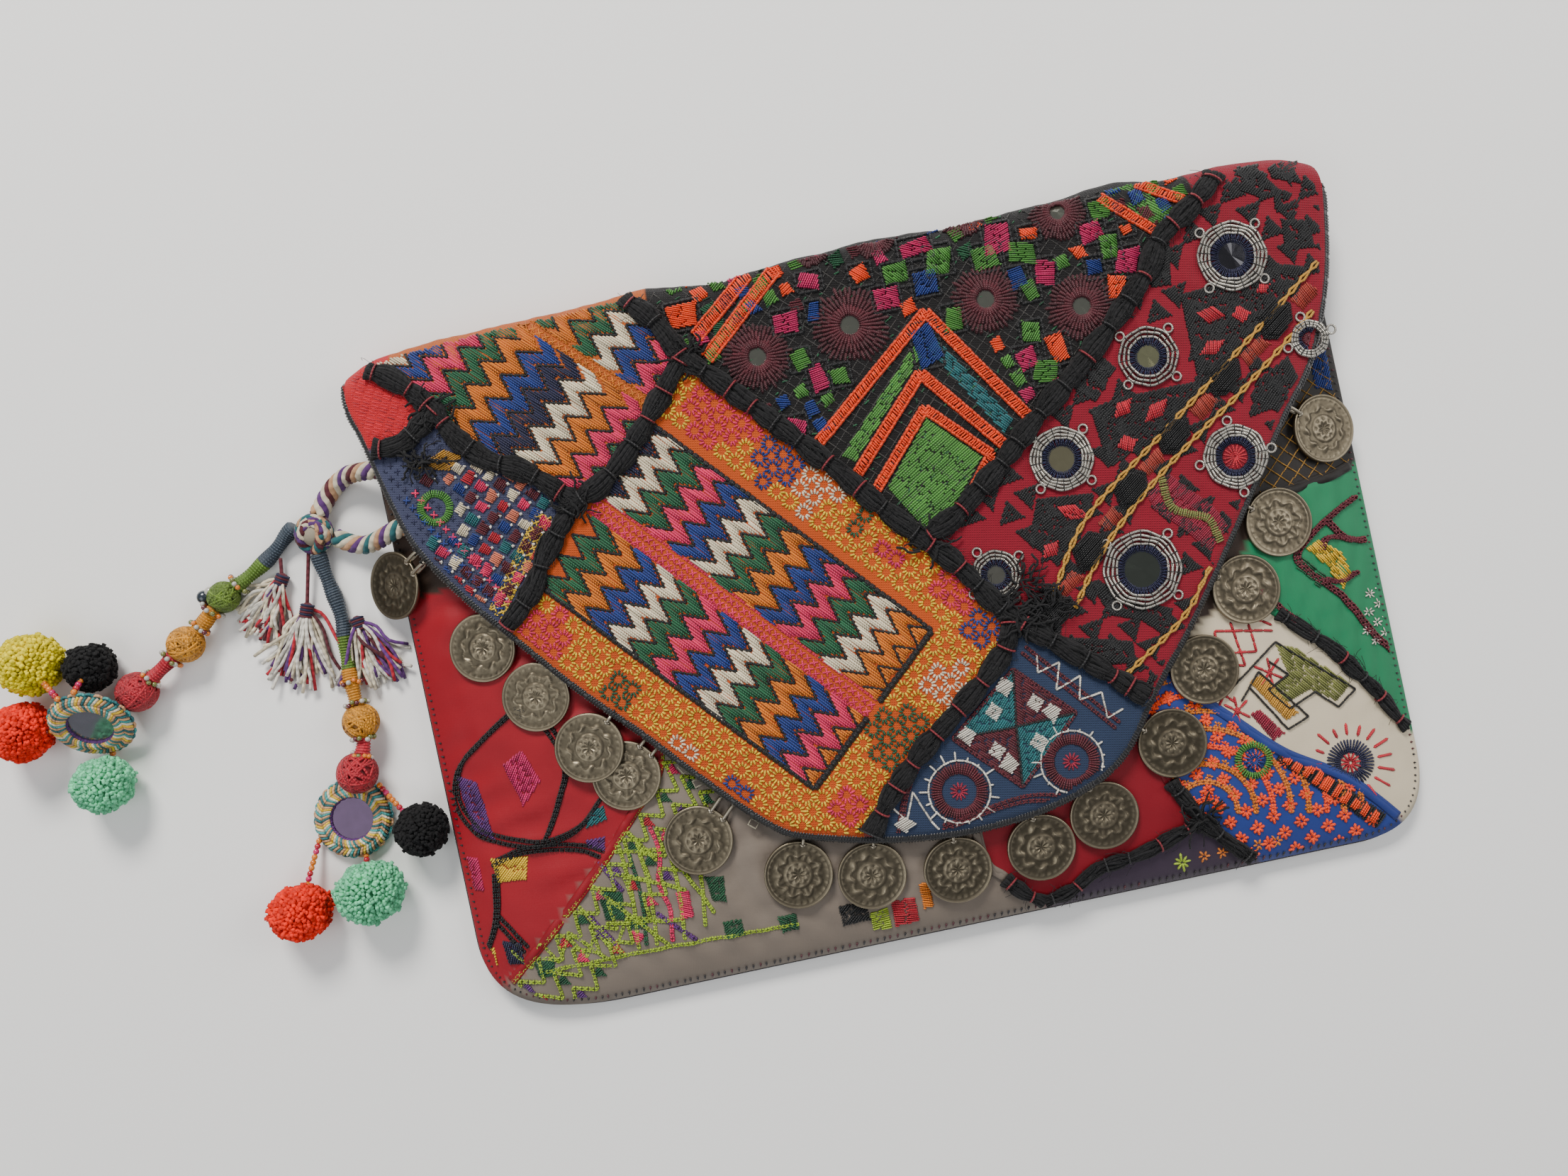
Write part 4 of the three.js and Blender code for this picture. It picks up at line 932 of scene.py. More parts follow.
def rope(heap, ties, fuzz, line, over, height, inside_line, width=7.6, thick=4.4, strands=14):
    """A full bundle of fine wool pinched by ties, with stray fibres."""
    plan = spaced(line, 1.4)
    plan = plan[inside(plan, inside_line)]
    if len(plan) < 8:
        return
    n = len(plan)
    along = np.concatenate([[0], np.cumsum(np.linalg.norm(np.diff(plan, axis=0), axis=1))])
    marks = [3.0]
    while marks[-1] < along[-1] - 6:
        marks.append(marks[-1] + rng.uniform(8, 14))
    pinch = np.zeros(n)
    for mark in marks:
        pinch = np.maximum(pinch, np.exp(-((along - mark) / 1.7) ** 2))
    way, side = way_and_side(plan)
    wide = width * (1 - .27 * pinch) * (1 + .14 * np.sin(along * .33 + rng.uniform(0, 6)))
    high = thick * (1 - .22 * pinch)
    for k in range(strands):
        turn = math.pi * (k + .5) / strands + .1 * np.sin(along * rng.uniform(.1, .25) + rng.uniform(0, 6))
        off = np.cos(turn) * wide * .42 + rng.uniform(.1, .55) * np.sin(along * rng.uniform(.15, .5) + k)
        lift = np.sin(turn) * high * .34 - .6
        spot = plan + side * off[:, None]
        place = over(spot[:, 0], spot[:, 1], height + lift + rng.uniform(-.12, .12))
        heap.tube(place, rng.uniform(.46, .66) * (1 - .2 * pinch), BLACK * rng.uniform(.4, 1.7), 4)
    for shift in (-.22, 0, .22):
        spot = plan + side * (shift * wide)[:, None]
        heap.tube(over(spot[:, 0], spot[:, 1], height - .55), .3 * high, BLACK * .6, 6)
    for mark in marks:
        i = int(np.argmin(np.abs(along - mark)))
        angle = np.linspace(0, 2 * math.pi, 13)[:-1]
        lean = rng.uniform(-.5, .5)
        across = side[i] * (np.cos(angle) * wide[i] * .56)[:, None]
        spot = plan[i] + across + way[i] * (np.sin(angle) * lean)[:, None]
        place = over(spot[:, 0], spot[:, 1], height + np.sin(angle) * high[i] * .58)
        colour = TIE if rng.random() < .5 else BLACK * 1.4
        ties.tube(place, .36, colour, 5, closed=True)
    for _ in range(int(along[-1] * 2.0)):
        i = rng.integers(1, n - 1)
        start = plan[i] + side[i] * rng.uniform(-.5, .5) * wide[i]
        bend = rng.normal(0, 2.0, 2)
        far = start + bend + way[i] * rng.uniform(-3, 3)
        mid = (start + far) / 2 + rng.normal(0, .8, 2)
        path = spaced(np.array([start, mid, far]), 1.9)
        level = height + .4 * high[i] * np.sin(np.linspace(.6, 2.6, len(path))) + rng.uniform(-.6, .5)
        fuzz.tube(over(path[:, 0], path[:, 1], level), .09, BLACK * rng.uniform(.6, 2.2), 3)


def tangle(fuzz, centre, over, height, spread, count):
    """Frayed yarn where ropes meet."""
    for _ in range(count):
        start = np.asarray(centre) + rng.normal(0, spread * .45, 2)
        angle = rng.uniform(0, 2 * math.pi)
        steps = np.cumsum(rng.normal(0, .5, 7)) + angle
        path = start + np.cumsum(round_places(steps) * rng.uniform(.7, 1.5), 0)
        level = height + rng.uniform(-1.2, 1.2) + .8 * np.sin(np.linspace(0, 3, 7))
        fuzz.tube(over(path[:, 0], path[:, 1], level), rng.uniform(.16, .5), BLACK * rng.uniform(.5, 1.7), 4)


def ropes():
    trim = aside(EDGE, 3.2)
    round_flap = np.vstack([trim, [(HALF_FLAP - 1, 118), (60, 121), (-60, 119.6), (-HALF_FLAP + 1, 113)]])
    heap, ties, fuzz = Heap(), Heap(), Heap()
    for names in FLAP_ROPES:
        rope(heap, ties, fuzz, through(names, FLAP_SEAMS, flap_xy), over_flap, 5.3, round_flap)
    for place, spread, count in (((45, -15), 5.5, 60), ((-104, 53), 3.5, 26), ((-145, 94), 4, 26),
                                 ((12, 16), 4, 24),
                                 ((36, -15), 5, 40), ((-152, 78), 3.5, 34), ((-56, 94), 3.5, 24),
                                 ((40, -5), 4, 24)):
        plan = seen(np.array([place], float), 24, over_flap, 5)[0]
        tangle(fuzz, plan, over_flap, 5.4, spread, count)
    ends = np.array([[-HALF_POUCH + 2, BOTTOM_Y + 32], [-124, BOTTOM_Y + 2], [145, BOTTOM_Y + 2],
                     [HALF_POUCH - 2, BOTTOM_Y + 32], [HALF_POUCH - 2, 60], [-HALF_POUCH + 2, 60]])
    front = Heap()
    for names in FRONT_ROPES:
        rope(front, ties, fuzz, through(names, FRONT_SEAMS, front_xy), over_front, 4.3, ends, 5.6, 3.4, 7)
    tangle(fuzz, front_xy(.758, .088), over_front, 4.4, 3.5, 26)
    made = heap.made("flap_yarn", WOOL)
    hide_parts("flap_couched_yarn")
    low_yarn = front.made("front_yarn", WOOL)
    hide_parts("front_couched_yarn_low", "front_couched_yarn_right")
    for piece in (made, low_yarn, ties.made("yarn_ties", THREAD), fuzz.made("yarn_fuzz", WOOL)):
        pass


def piping():
    line = aside(EDGE, 1.6)
    plan = spaced(line, 1.0)
    place = over_flap(plan[:, 0], plan[:, 1], 1.65)
    heap = Heap()
    heap.tube(place, 1.6, BLACK * .7, 12)
    along = np.concatenate([[0], np.cumsum(np.linalg.norm(np.diff(place, axis=0), axis=1))])
    for mark in np.arange(.8, along[-1], 1.15):
        i = min(int(np.searchsorted(along, mark)), len(place) - 2)
        way = place[i + 1] - place[i]
        way = way / np.linalg.norm(way)
        side = np.cross(way, [0, 0, 1])
        side /= np.linalg.norm(side)
        up = np.cross(side, way)
        angle = np.linspace(-.5, 3.6, 6)
        ring = (place[i] + way * ((angle - 1.5) * .42)[:, None]
                + 1.62 * (np.cos(angle)[:, None] * side + np.sin(angle)[:, None] * up))
        heap.tube(ring, .36, BLACK * rng.uniform(.5, 1.6), 4)
    made = heap.made("edge_piping", PIPING)
    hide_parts("flap_piping")


ropes()
piping()


# Thread colours
INK = {name: rgb(text) for name, text in {
    "orange": "d0720a", "green": "1b5c38", "blue": "16337c", "cream": "e2d5b8", "pink": "d8245a",
    "navy": "181a3c", "yellow": "e2bb2a", "maroon": "5a1522", "magenta": "c2185c", "teal": "1c6468",
    "white": "d9d3c6", "gold": "b8862c", "olive": "6f7238", "lime": "9bb42a", "silver": "b9b4aa",
    "red": "b3162a", "salmon": "cf7458", "purple": "5a2a70", "dark_green": "16502f", "grass": "4c8a34",
    "brick": "a53a2a", "net": "2a2724", "amber": "d9781c", "crimson": "8f1232", "mint": "6fc39a",
    "black": "0b0a0b", "tan": "c99a70", "fluo": "ff4a0c", "slate": "36424e", "leaf": "5a7a1e",
    "honey": "c98512", "pale": "9a9c84", "aqua": "3f9a98"}.items()}

def flap_level(x, y):
    return .22 * wave_noise(x, y, 14, 3) + .12 * wave_noise(x, y, 5, 4)


def flap_work(name):
    work = Stitches(over_flap, 24, FLAP_TOP)
    work.rooms = [FLAP_OUTLINES[name], FLAP_TRIM]
    work.level = flap_level
    return work


def front_work(*names):
    work = Stitches(over_front, 12, FRONT_TOP)
    work.rooms = [FRONT_TRIM] if len(names) != 1 else [FRONT_TRIM, FRONT_OUTLINES[names[0]]]
    work.level = front_level
    return work


silver, gold, glass, purl_ties = Heap(), Heap(), Heap(), Heap()


def on(work, points, h):
    """Places above points seen in the photograph."""
    q = seen(points, work.plane, work.over, work.base)
    return work.over(q[:, 0], q[:, 1], work.base + h + work.level(q[:, 0], q[:, 1]))


def mirror(work, centre, radius, shade):
    """A small uneven glass under the threads."""
    angle = np.linspace(0, 2 * math.pi, 19)[:-1]
    edge = radius * (1 + .05 * np.sin(3 * angle + rng.uniform(0, 6)))
    ring = np.asarray(centre) + round_places(angle) * edge[:, None]
    top = on(work, np.vstack([ring, [centre]]), .42)
    low = on(work, np.vstack([ring, [centre]]), -.2)
    n = len(angle)
    k = np.arange(n)
    after = (k + 1) % n
    tris = np.vstack([np.stack([k, after, np.full(n, n)], -1),
                      np.stack([after + n + 1, k + n + 1, np.full(n, 2 * n + 1)], -1)])
    quads = np.stack([k, k + n + 1, after + n + 1, after], -1)
    # The glass is coloured with a painted reflection: shade is the tone that this mirror reflects, light or
    # dark.
    glass.put(np.vstack([top, low]), quads, tris, rgb(shade))


def purl_ring(work, centre, outer, inner, core, shade="8f8c7e", turn=.6, loops=4):
    """A mirror in navy buttonhole stitch, with rounds of silver purl and four small loops."""
    centre = np.asarray(centre, float)
    if core == "glass":
        # shade gives the glass its painted reflection tone.
        mirror(work, centre, inner + .4, shade)
    else:
        work.rays(centre, .1, inner, 16, .8, INK[core], lift=.1)
    gap = outer * .62 - inner
    work.rays(centre, inner - .3, inner + gap + .5, int(inner * 13), .62, INK["navy"], .8, ragged=.06,
              lift=.15)
    work.rays(centre, inner + gap * .4, inner + gap + .4, int(inner * 8), .7, INK["navy"] * 1.3, .9,
              lift=.35)
    angle = np.linspace(0, 2 * math.pi, 57)[:-1]
    rounds = max(3, round((outer * .38) / 1.15))
    for k in range(rounds):
        radius = outer * .66 + (outer * .34 - .5) * k / (rounds - 1)
        wobble = radius * (1 + .018 * np.sin(8 * angle + k) + rng.normal(0, .004, len(angle)))
        path = on(work, centre + round_places(angle) * wobble[:, None], .75)
        silver.tube(path, .52, INK["silver"] * rng.uniform(.8, 1.1), 6, closed=True)
    for a in np.linspace(0, 2 * math.pi, 23)[:-1]:
        way = np.array([math.cos(a), math.sin(a)])
        path = on(work, centre + way * np.linspace(outer * .63, outer * 1.0, 4)[:, None], 1.28)
        purl_ties.tube(path, .14, INK["black"] * 2, 4)
    for k in range(loops):
        a = turn + k * math.pi / 2
        middle = centre + np.array([math.cos(a), math.sin(a)]) * (outer + 1.5)
        small = np.linspace(0, 2 * math.pi, 15)[:-1]
        path = on(work, middle + round_places(small) * 1.5, .55)
        silver.tube(path, .42, INK["silver"], 5, closed=True)


def gold_chain(work, points, width=1.7):
    line = spaced(points, 1.9)
    way, side = way_and_side(line)
    for s in (-1, 1):
        swing = np.sin(np.arange(len(line)) * 2.1 + (0 if s > 0 else math.pi))
        path = on(work, line + side * (s * .2 * width + .28 * width * swing[:, None]), .7)
        keep = inside(path[:, :2], work.rooms[0]) & inside(path[:, :2],
                                                           FLAP_TRIM if work.plane > 20 else FRONT_TRIM)
        if keep.sum() > 4:
            gold.tube(path[keep], .48, INK["gold"] * rng.uniform(.9, 1.15), 5)


def flame(work, origin, way, low, high, start, bands, step, thick, pitch, tall, width=.95):
    """Bands of long stitches whose ends climb and fall in teeth, outlined in black."""
    v = np.array([math.cos(way), math.sin(way)])
    u = np.array([-v[1], v[0]])
    origin = np.asarray(origin, float)
    across = np.arange(low, high, width * .84)
    corner = np.arange(math.floor(low / pitch * 2), math.ceil(high / pitch * 2) + 1) * pitch / 2
    corner = corner[(corner > low - 1) & (corner < high + 1)]

    def tooth(at):
        return tall * (np.abs((at / pitch) % 1 - .5) * 2 - .5)

    for k, colour in enumerate(bands):
        level = start + k * step
        begin = level + tooth(across) + rng.normal(0, .22, len(across))
        a = origin + across[:, None] * u + begin[:, None] * v
        work.add(a, a + (thick + rng.normal(0, .2, (len(a), 1))) * v, width, .55, INK[colour], .08, .12, .08)
        zigzag = origin + corner[:, None] * u + (level - .5 + tooth(corner))[:, None] * v
        work.line(zigzag, 1.0, INK["black"], 2.4, .4, curve=False, lift=.22)


def lattice_strip(work, a, b, wide, colour, pitch=2.7):
    """A strip of crossed stitches that leaves small holes."""
    a, b = np.asarray(a, float), np.asarray(b, float)
    v = (b - a) / np.linalg.norm(b - a)
    u = np.array([-v[1], v[0]])
    along = np.arange(pitch / 2, np.linalg.norm(b - a), pitch)
    over = np.arange(-wide / 2 + pitch / 2, wide / 2, pitch)
    s, t = np.meshgrid(along, over)
    centres = a + s.reshape(-1, 1) * v + t.reshape(-1, 1) * u
    turn = math.atan2(v[1], v[0])
    work.crosses(centres, pitch * 1.25, .75, INK[colour], turn)
    for side in (-wide / 2, wide / 2):
        work.line([a + u * side, b + u * side], .9, INK[colour] * .9, 2.2, chain=True, curve=False)


def star_field(work, polygon, pitch, turn, colour):
    """Short stitches radiating round small holes, row by row."""
    polygon = np.asarray(polygon, float)
    low, high = polygon.min(0), polygon.max(0)
    centres = grid(low[0], high[0], low[1], high[1], pitch, turn)
    centres = centres[inside(centres, polygon)]
    if not len(centres):
        return centres
    if callable(colour):
        tints = np.array([colour(c) for c in centres])
    else:
        tints = np.broadcast_to(INK[colour], (len(centres), 3))
    reach = pitch * .5
    for k in range(12):
        angle = turn + math.pi / 6 * k
        way = np.array([math.cos(angle), math.sin(angle)])
        far = min(reach / max(abs(math.cos(angle - turn)), abs(math.sin(angle - turn))), reach * 1.25)
        work.add(centres + way * pitch * .2, centres + way * far, .9, .55, tints, .12, .14, .08)
    return centres


# The embroidery of the flap
def orange_patch():
    work = flap_work("orange")
    foot, way = np.array([-20.0, -36.0]), math.atan2(-.748, .663)
    v, u = np.array([.663, -.748]), np.array([.748, .663])
    left = ["green", "orange", "blue", "cream", "green", "pink", "blue", "cream", "green", "orange", "blue",
            "pink"]
    right = ["navy", "cream", "green", "pink", "blue", "cream", "green", "orange", "blue", "pink", "green",
             "cream", "orange"]
    held = work.rooms
    for side, bands in ((-1, left), (1, right)):
        near, far = side * 3.4, side * 33.5
        box = [foot + near * u - 128 * v, foot + far * u - 128 * v, foot + far * u + .5 * v,
               foot + near * u + .5 * v]
        work.rooms = held + [seen(np.array(box), 24, over_flap, FLAP_TOP)]
        low, high = min(near, far), max(near, far)
        flame(work, foot, way, low, high, -9.2 * len(bands) - 2, bands + ["orange"], 9.2, 7.9, 8.6, 8.4)
        work.rooms = held
        work.line([foot + far * u - 120 * v, foot + far * u + v], 2.0, INK["black"], 2.2, .6, curve=False,
                  lift=.3)
        work.line([foot + near * u + v, foot + far * u + v], 2.4, INK["black"], 2.0, .7, curve=False,
                  lift=.3)
    lattice_strip(work, foot - 118 * v, foot, 6.4, "pink")
    spots = [((-50, 73), 12, "pink"), ((-122, 12), 8, "pink"), ((16, -1), 8, "pink"),
             ((-33, -69), 6, "pink"),
             ((-35, 54), 8, "blue"), ((24, -17), 7, "blue"), ((-69, -54), 4, "blue"),
             ((-22, 41), 7, "cream"),
             ((7, -35), 7, "cream"), ((-88, -40), 6, "cream"), ((-10, 28), 5, "dark_green"),
             ((-12, -49), 10, "dark_green"), ((-104, -14), 6, "dark_green"), ((-3, 15), 5, "magenta")]

    def colour(c):
        for place, reach, name in spots:
            if np.abs(c - np.array(place)).max() < reach:
                return INK[name]
        return INK["yellow"]

    sides = [[foot - 34 * u - 126 * v, foot - 34 * u + 3 * v, foot - 60 * u + 3 * v,
              foot - 60 * u - 126 * v],
             [foot + 35 * u - 126 * v, foot + 35 * u + 3 * v, foot + 62 * u + 3 * v,
              foot + 62 * u - 126 * v],
             [foot - 60 * u + 2 * v, foot + 62 * u + 2 * v, foot + 62 * u + 44 * v, foot - 60 * u + 44 * v]]
    for box in sides:
        star_field(work, box, 5.8, way, colour)
    return work


def chevron_patch():
    work = flap_work("chevron")
    middle, way = (-100, 88), -math.pi / 4
    order = ["orange", "green", "cream", "blue", "pink", "green", "orange", "blue", "navy", "cream",
             "orange",
             "pink", "green"]
    flame(work, middle, way, -40, 13, -80, order, 8.7, 7.4, 9.4, 8, .9)
    flame(work, middle, way, 17, 52, -62, order[8:] + order[:6], 8.7, 7.4, 9.4, 8, .9)
    lattice_strip(work, (-139, 148), (-60, 69), 3.4, "orange")
    return work


def lattice_patch():
    work = flap_work("lattice")
    work.rays((-151, 61.5), 3.3, 6.5, 44, .8, INK["grass"], .7, lift=.1)
    work.satin([(-155, 76), (-144, 80.5), (-138, 77), (-144, 73)], 20, .8, INK["gold"], rise=.7)
    turn = math.atan2(31, -24)
    tones = ("red", "blue", "salmon", "maroon", "pink", "teal", "maroon", "cream")
    for k, (x, y) in enumerate(grid(-156, -112, 26, 76, 5.0, turn)):
        if math.hypot(x + 151, y - 61.5) > 8.5 and y < 74:
            tone = INK[tones[int(rng.integers(8))]]
            work.box(x - 1.9, x + 1.9, y - 1.9, y + 1.9, 45 if k % 2 else -40, .8, tone, .75, .8)
            work.crosses(np.array([[x + 2.5, y]]), 1.4, .7, INK["white"], .4, .35)
    for shift, name in ((0, "blue"), (3.4, "pink")):
        for a, b in (((-160, 66), (-132, 15)), ((-118, 68), (-108, 58))):
            line = spaced(np.array([a, b], float) + [shift, shift * .5], 3.3)
            work.crosses(line, 3.2, .75, INK[name], .5, .2)
    lattice_strip(work, (-115, 52), (-139, 21), 5, "yellow")
    fill = grid(-170, -95, 10, 100, 3.1, turn)
    work.crosses(fill, 2.4, .4, INK["navy"] * 1.5, turn, -.02)
    return work


def blossom(work, centre, radius, glass_radius):
    """Maroon petals of loose thread round a small mirror."""
    centre = np.asarray(centre, float)
    for k, (r0, r1) in enumerate(((.66, 1.0), (.42, .8), (.22, .58))):
        work.rays(centre, radius * r0, radius * r1, int(46 - 6 * k), 1.6, INK["maroon"] * (.5 + .15 * k),
                  1.0,
                  ragged=.1, lift=.05 + .22 * k)
    if glass_radius:
        # The mirror's colour 75766a is a painted reflection.
        mirror(work, centre, glass_radius, "75766a")
        work.rays(centre, glass_radius * .82, glass_radius * 1.35, 30, .8, INK["maroon"] * .8, .9, lift=.55)


def net_patch():
    work = flap_work("net")
    for turn in (math.pi / 4, -math.pi / 4):
        way = np.array([math.cos(turn), math.sin(turn)])
        side = np.array([-way[1], way[0]])
        for off in np.arange(-110, 110, 3.2):
            start = np.array([25.0, 80.0]) + side * off
            parts = start + way * np.arange(-110, 110, 8.0)[:, None]
            work.add(parts[:-1], parts[1:] + way * .4, .62, .3, INK["net"], .15, .25)
    dashes = grid(-80, 120, 10, 122, 4.6, .8)
    dashes = dashes[rng.random(len(dashes)) < .55]
    work.add(dashes - [.9, .5], dashes + [.9, .5], .7, .4, INK["dark_green"], .5, .3, .12)
    for x, y, r, g in ((-33, 89, 12, 4.5), (0, 93, 13.5, 3.6), (47, 92, 12, 4), (78.5, 83, 12, 3.6),
                       (77, 116, 10, 3),
                       (14, 121, 8, 0), (-8, 122, 7, 0), (45, 122, 8, 0)):
        blossom(work, (x, y), r, g)
    blocks = {
        "magenta": [(-14, -7, 108, 113), (-25, -17, 95, 102), (-17, -11, 73, 82), (-28, -22, 60, 66),
                    (22, 32, 111, 117), (10, 18, 96, 103), (51, 59, 106, 116), (65, 72, 93, 101),
                    (83, 91, 104, 110),
                    (93, 101, 90, 99), (53, 60, 66, 73), (64, 68, 57, 61)],
        "blue": [(-13, -9, 97, 103), (24, 32, 98, 106), (20, 28, 74, 88), (56, 62, 94, 100),
                 (83, 88, 92, 98)],
        "orange": [(-60, -50, 104, 112), (64, 71, 66, 75), (88, 95, 83, 91), (63, 69, 109, 113),
                   (97, 101, 104, 107), (4, 10, 106, 112)],
        "grass": [(15, 24, 103, 110), (30, 38, 104, 113), (57, 67, 102, 109), (60, 65, 89, 95),
                  (89, 95, 97, 105),
                  (57, 63, 75, 81), (58, 66, 60, 67), (-10, -4, 74, 80), (88, 95, 110, 117),
                  (-22, -16, 82, 88),
                  (46, 54, 102, 110), (32, 38, 84, 92)],
    }
    for name, places in blocks.items():
        for x0, x1, y0, y1 in places:
            outline_box = [(x0 - 1, y0 - 1), (x1 + 1, y0 - 1), (x1 + 1, y1 + 1), (x0 - 1, y1 + 1),
                           (x0 - 1, y0 - 1)]
            work.line(outline_box, 1.5, INK["black"], 2, .7, curve=False, lift=.2)
            angle = rng.uniform(-60, 60)
            work.box(x0, x1, y0, y1, angle, .85, INK["fluo" if name == "orange" else name], .95,
                     rng.uniform(-.3, .3),
                     lift=.15)
    flowers = np.array([(-33, 89, 15), (0, 93, 16), (47, 92, 15), (78.5, 83, 15), (77, 116, 12)])
    held = np.array([((x0 + x1) / 2, (y0 + y1) / 2) for places in blocks.values() for x0, x1, y0,
                     y1 in places])
    house = np.array([(-26, 52), (26, 98), (60, 48), (15, 4)], float)
    for k, (x, y) in enumerate(grid(-62, 120, 34, 126, 6.6, .32)):
        open_place = (np.hypot(flowers[:, 0] - x, flowers[:, 1] - y) > flowers[:, 2]).all()
        open_place &= (np.hypot(held[:, 0] - x, held[:, 1] - y) > 6.4).all()
        if open_place and not inside(np.array([[x, y]]), house)[0]:
            name = ("grass", "magenta", "blue", "grass", "maroon", "fluo", "dark_green")[(k * 5) % 7]
            work.box(x - 2.3, x + 2.3, y - 2.3, y + 2.3, rng.uniform(-60, 60), .9, INK[name], .85, .3,
                     lift=.12)
    for line in ([(-52, 100), (-31, 117)], [(-50, 92), (-21, 117)]):
        ladder(work, line, 4.2, "fluo")
    work.satin([(-48, 97), (-28, 114), (-24, 113), (-46, 94)], 45, .9, INK["grass"], rise=.6)
    gables = [[(-20, 55), (26, 92), (53, 50)], [(-8, 43), (20, 72), (44, 41)],
              [(-4, 35), (19, 60), (38, 40), (15, 12)],
              [(92, 118), (108, 103)], [(105, 120), (120, 111)]]
    for k, line in enumerate(gables):
        for a, b in zip(line, line[1:]):
            ladder(work, [a, b], 3.2 if k < 2 else 2.8, "fluo")
    work.satin([(19, 57), (35, 40), (13, 15), (1, 36)], 30, 1.0, INK["grass"], 9, .5)
    work.satin([(-12, 50), (20, 82), (22, 78), (-8, 47)], 40, .9, INK["grass"], 6, .5)
    work.satin([(24, 80), (27, 84), (48, 50), (44, 46)], -50, .9, INK["teal"], 6, .5)
    work.satin([(94, 120), (104, 120), (118, 108), (109, 104)], -40, 1.0, INK["grass"], 12, .5)
    return work


def ladder(work, line, wide, name):
    """A bar of close buttonhole stitches."""
    p = spaced(np.asarray(line, float), .85)
    way = (p[-1] - p[0]) / np.linalg.norm(p[-1] - p[0])
    side = np.array([-way[1], way[0]])
    swing = way * .8
    work.add(p - side * wide / 2, p + side * wide / 2 + swing, .85, .8, INK[name], .15, .14, .25)
    for s in (-1, 1):
        work.line(np.array([p[0], p[-1]]) + side * wide / 2 * s, 1.2, INK[name] * .85, 1.7, .7, curve=False,
                  lift=.5)


def twill_patch():
    work = flap_work("twill")
    black = [[(112, 80), (149, 83), (158, 80), (126, 57), (112, 50)],
             [(112, 50), (126, 56), (98, 36), (76, 27), (74, 48), (84, 50)],
             [(101, 98), (113, 100), (110, 84), (103, 84)],
             [(150, 87), (161, 86), (160, 96), (151, 98)], [(151, 112), (161, 108), (158, 118), (150, 116)],
             [(136, 112), (146, 106), (150, 114), (142, 120)], [(150, 100), (157, 106), (150, 110)],
             [(50, 22), (70, 20), (62, 6), (52, -2), (44, 8)], [(80, 68), (86, 60), (76, 50), (70, 56)],
             [(61, -9), (66, -22), (76, -26), (82, -32), (88, -24), (74, -18), (66, -10)],
             [(45, -25), (58, -28), (72, -32), (72, -40), (60, -38), (48, -31)],
             [(132, 46), (144, 52), (146, 44), (138, 32), (128, 40)]]
    for shape in black:
        work.satin(shape, 38 + rng.uniform(-12, 12), 1.15, INK["black"], 6.5, .6, pack=.68)
    rounds = np.array([(132, 89), (97, 61.5), (61, 33.5), (80, -9), (119, 22), (31, -.5), (152, 56)])
    for k, (x, y) in enumerate(grid(20, 172, -60, 124, 9.4, .62)):
        if (np.hypot(rounds[:, 0] - x, rounds[:, 1] - y) > 14.5).all():
            turn = math.pi * k + .62
            corners = np.array([(math.cos(turn + a), math.sin(turn + a)) for a in (0, 2.2, 4.1)]) * 5.4 + [x,
                                                                                                           y]
            work.satin(corners, 38 + rng.uniform(-14, 14), 1.1, INK["black"], 6.5, .55, pack=.7)
    leaves = [(121, 71, 3, 5, 70), (131, 69, 3.5, 3.5, 0), (119, 60, 5, 3, 20), (85, 46, 4.5, 3, 40),
              (96, 43, 6, 3, 35), (84, 34, 4, 3.5, 10), (61, 15, 3, 6, 60), (51, 4, 4, 3, 40),
              (140, 76, 3, 2, 20)]
    for x, y, long, wide, turn in leaves:
        diamond = np.array([[-long, 0], [0, -wide], [long, 0], [0, wide]])
        shape = diamond @ turning(math.radians(turn)) + [x, y]
        work.satin(shape, turn + 60, .85, INK["red"] * 1.15, 6, .6, lift=.4)
    first = [(160, 81), (126, 56), (98, 36), (65, 12), (48, -12)]
    second = [(155, 65), (128, 45), (95, 23), (70, 2), (55, -17)]
    for x, y in ((121, 50), (142, 65), (100, 34), (82, 19), (64, 1), (47, -17)):
        shape = np.array([[-8, -2], [-5, -5.4], [4, -5], [8, 0], [5, 5], [-4, 5.4]])
        for lift in (.1, .8):
            work.satin(shape @ turning(.62) * (1 - .3 * lift) + [x, y], 36, .75, INK["black"] * 1.3, 12,
                       1.0, lift, .3)
    for x, y in ((154, 71), (133, 56), (112, 41), (91, 26), (73, 10), (55, -8)):
        work.box(x - 4.5, x + 4.5, y - 2.8, y + 2.8, 115, .8, INK["brick"], .6, .62)
    gold_chain(work, first)
    gold_chain(work, second)
    gold_chain(work, [(103, -13), (90, -28), (67, -43)])
    work.satin([(86, 20), (96, 21), (108, 8), (112, 0), (104, -8), (96, 2), (88, 10)], 35, .8,
               INK["crimson"], 7, .5)
    wave = spaced(np.array([(93, 20), (94, 10), (100, 6), (106, 3), (108, -5)], float), .8)
    way = np.gradient(wave, axis=0)
    way /= np.linalg.norm(way, axis=1)[:, None]
    side = np.stack([-way[:, 1], way[:, 0]], 1) * 1.7
    work.add(wave - side, wave + side, .85, .7, INK["olive"] * 1.3, .1, .12, .35)
    # The hex tones given to the glass mirrors below (core, and 77756a) are their painted reflections.
    for x, y, r, g, core in ((132, 89, 12, 4.5, "2f2e33"), (97, 61.5, 10.3, 3.7, "8f8e6c"),
                             (61, 33.5, 11, 4.3, "8a8468"),
                             (80, -9, 13.5, 6, "4c5148")):
        purl_ring(work, (x, y), r, g, "glass", core, .75)
    purl_ring(work, (119, 22), 11, 4.5, "red", "", 1.6)
    purl_ring(work, (31, -.5), 8.6, 3, "glass", "77756a", .5)
    purl_ring(work, (152, 56), 6.5, 2.4, "maroon", "", .2, 3)
    return work


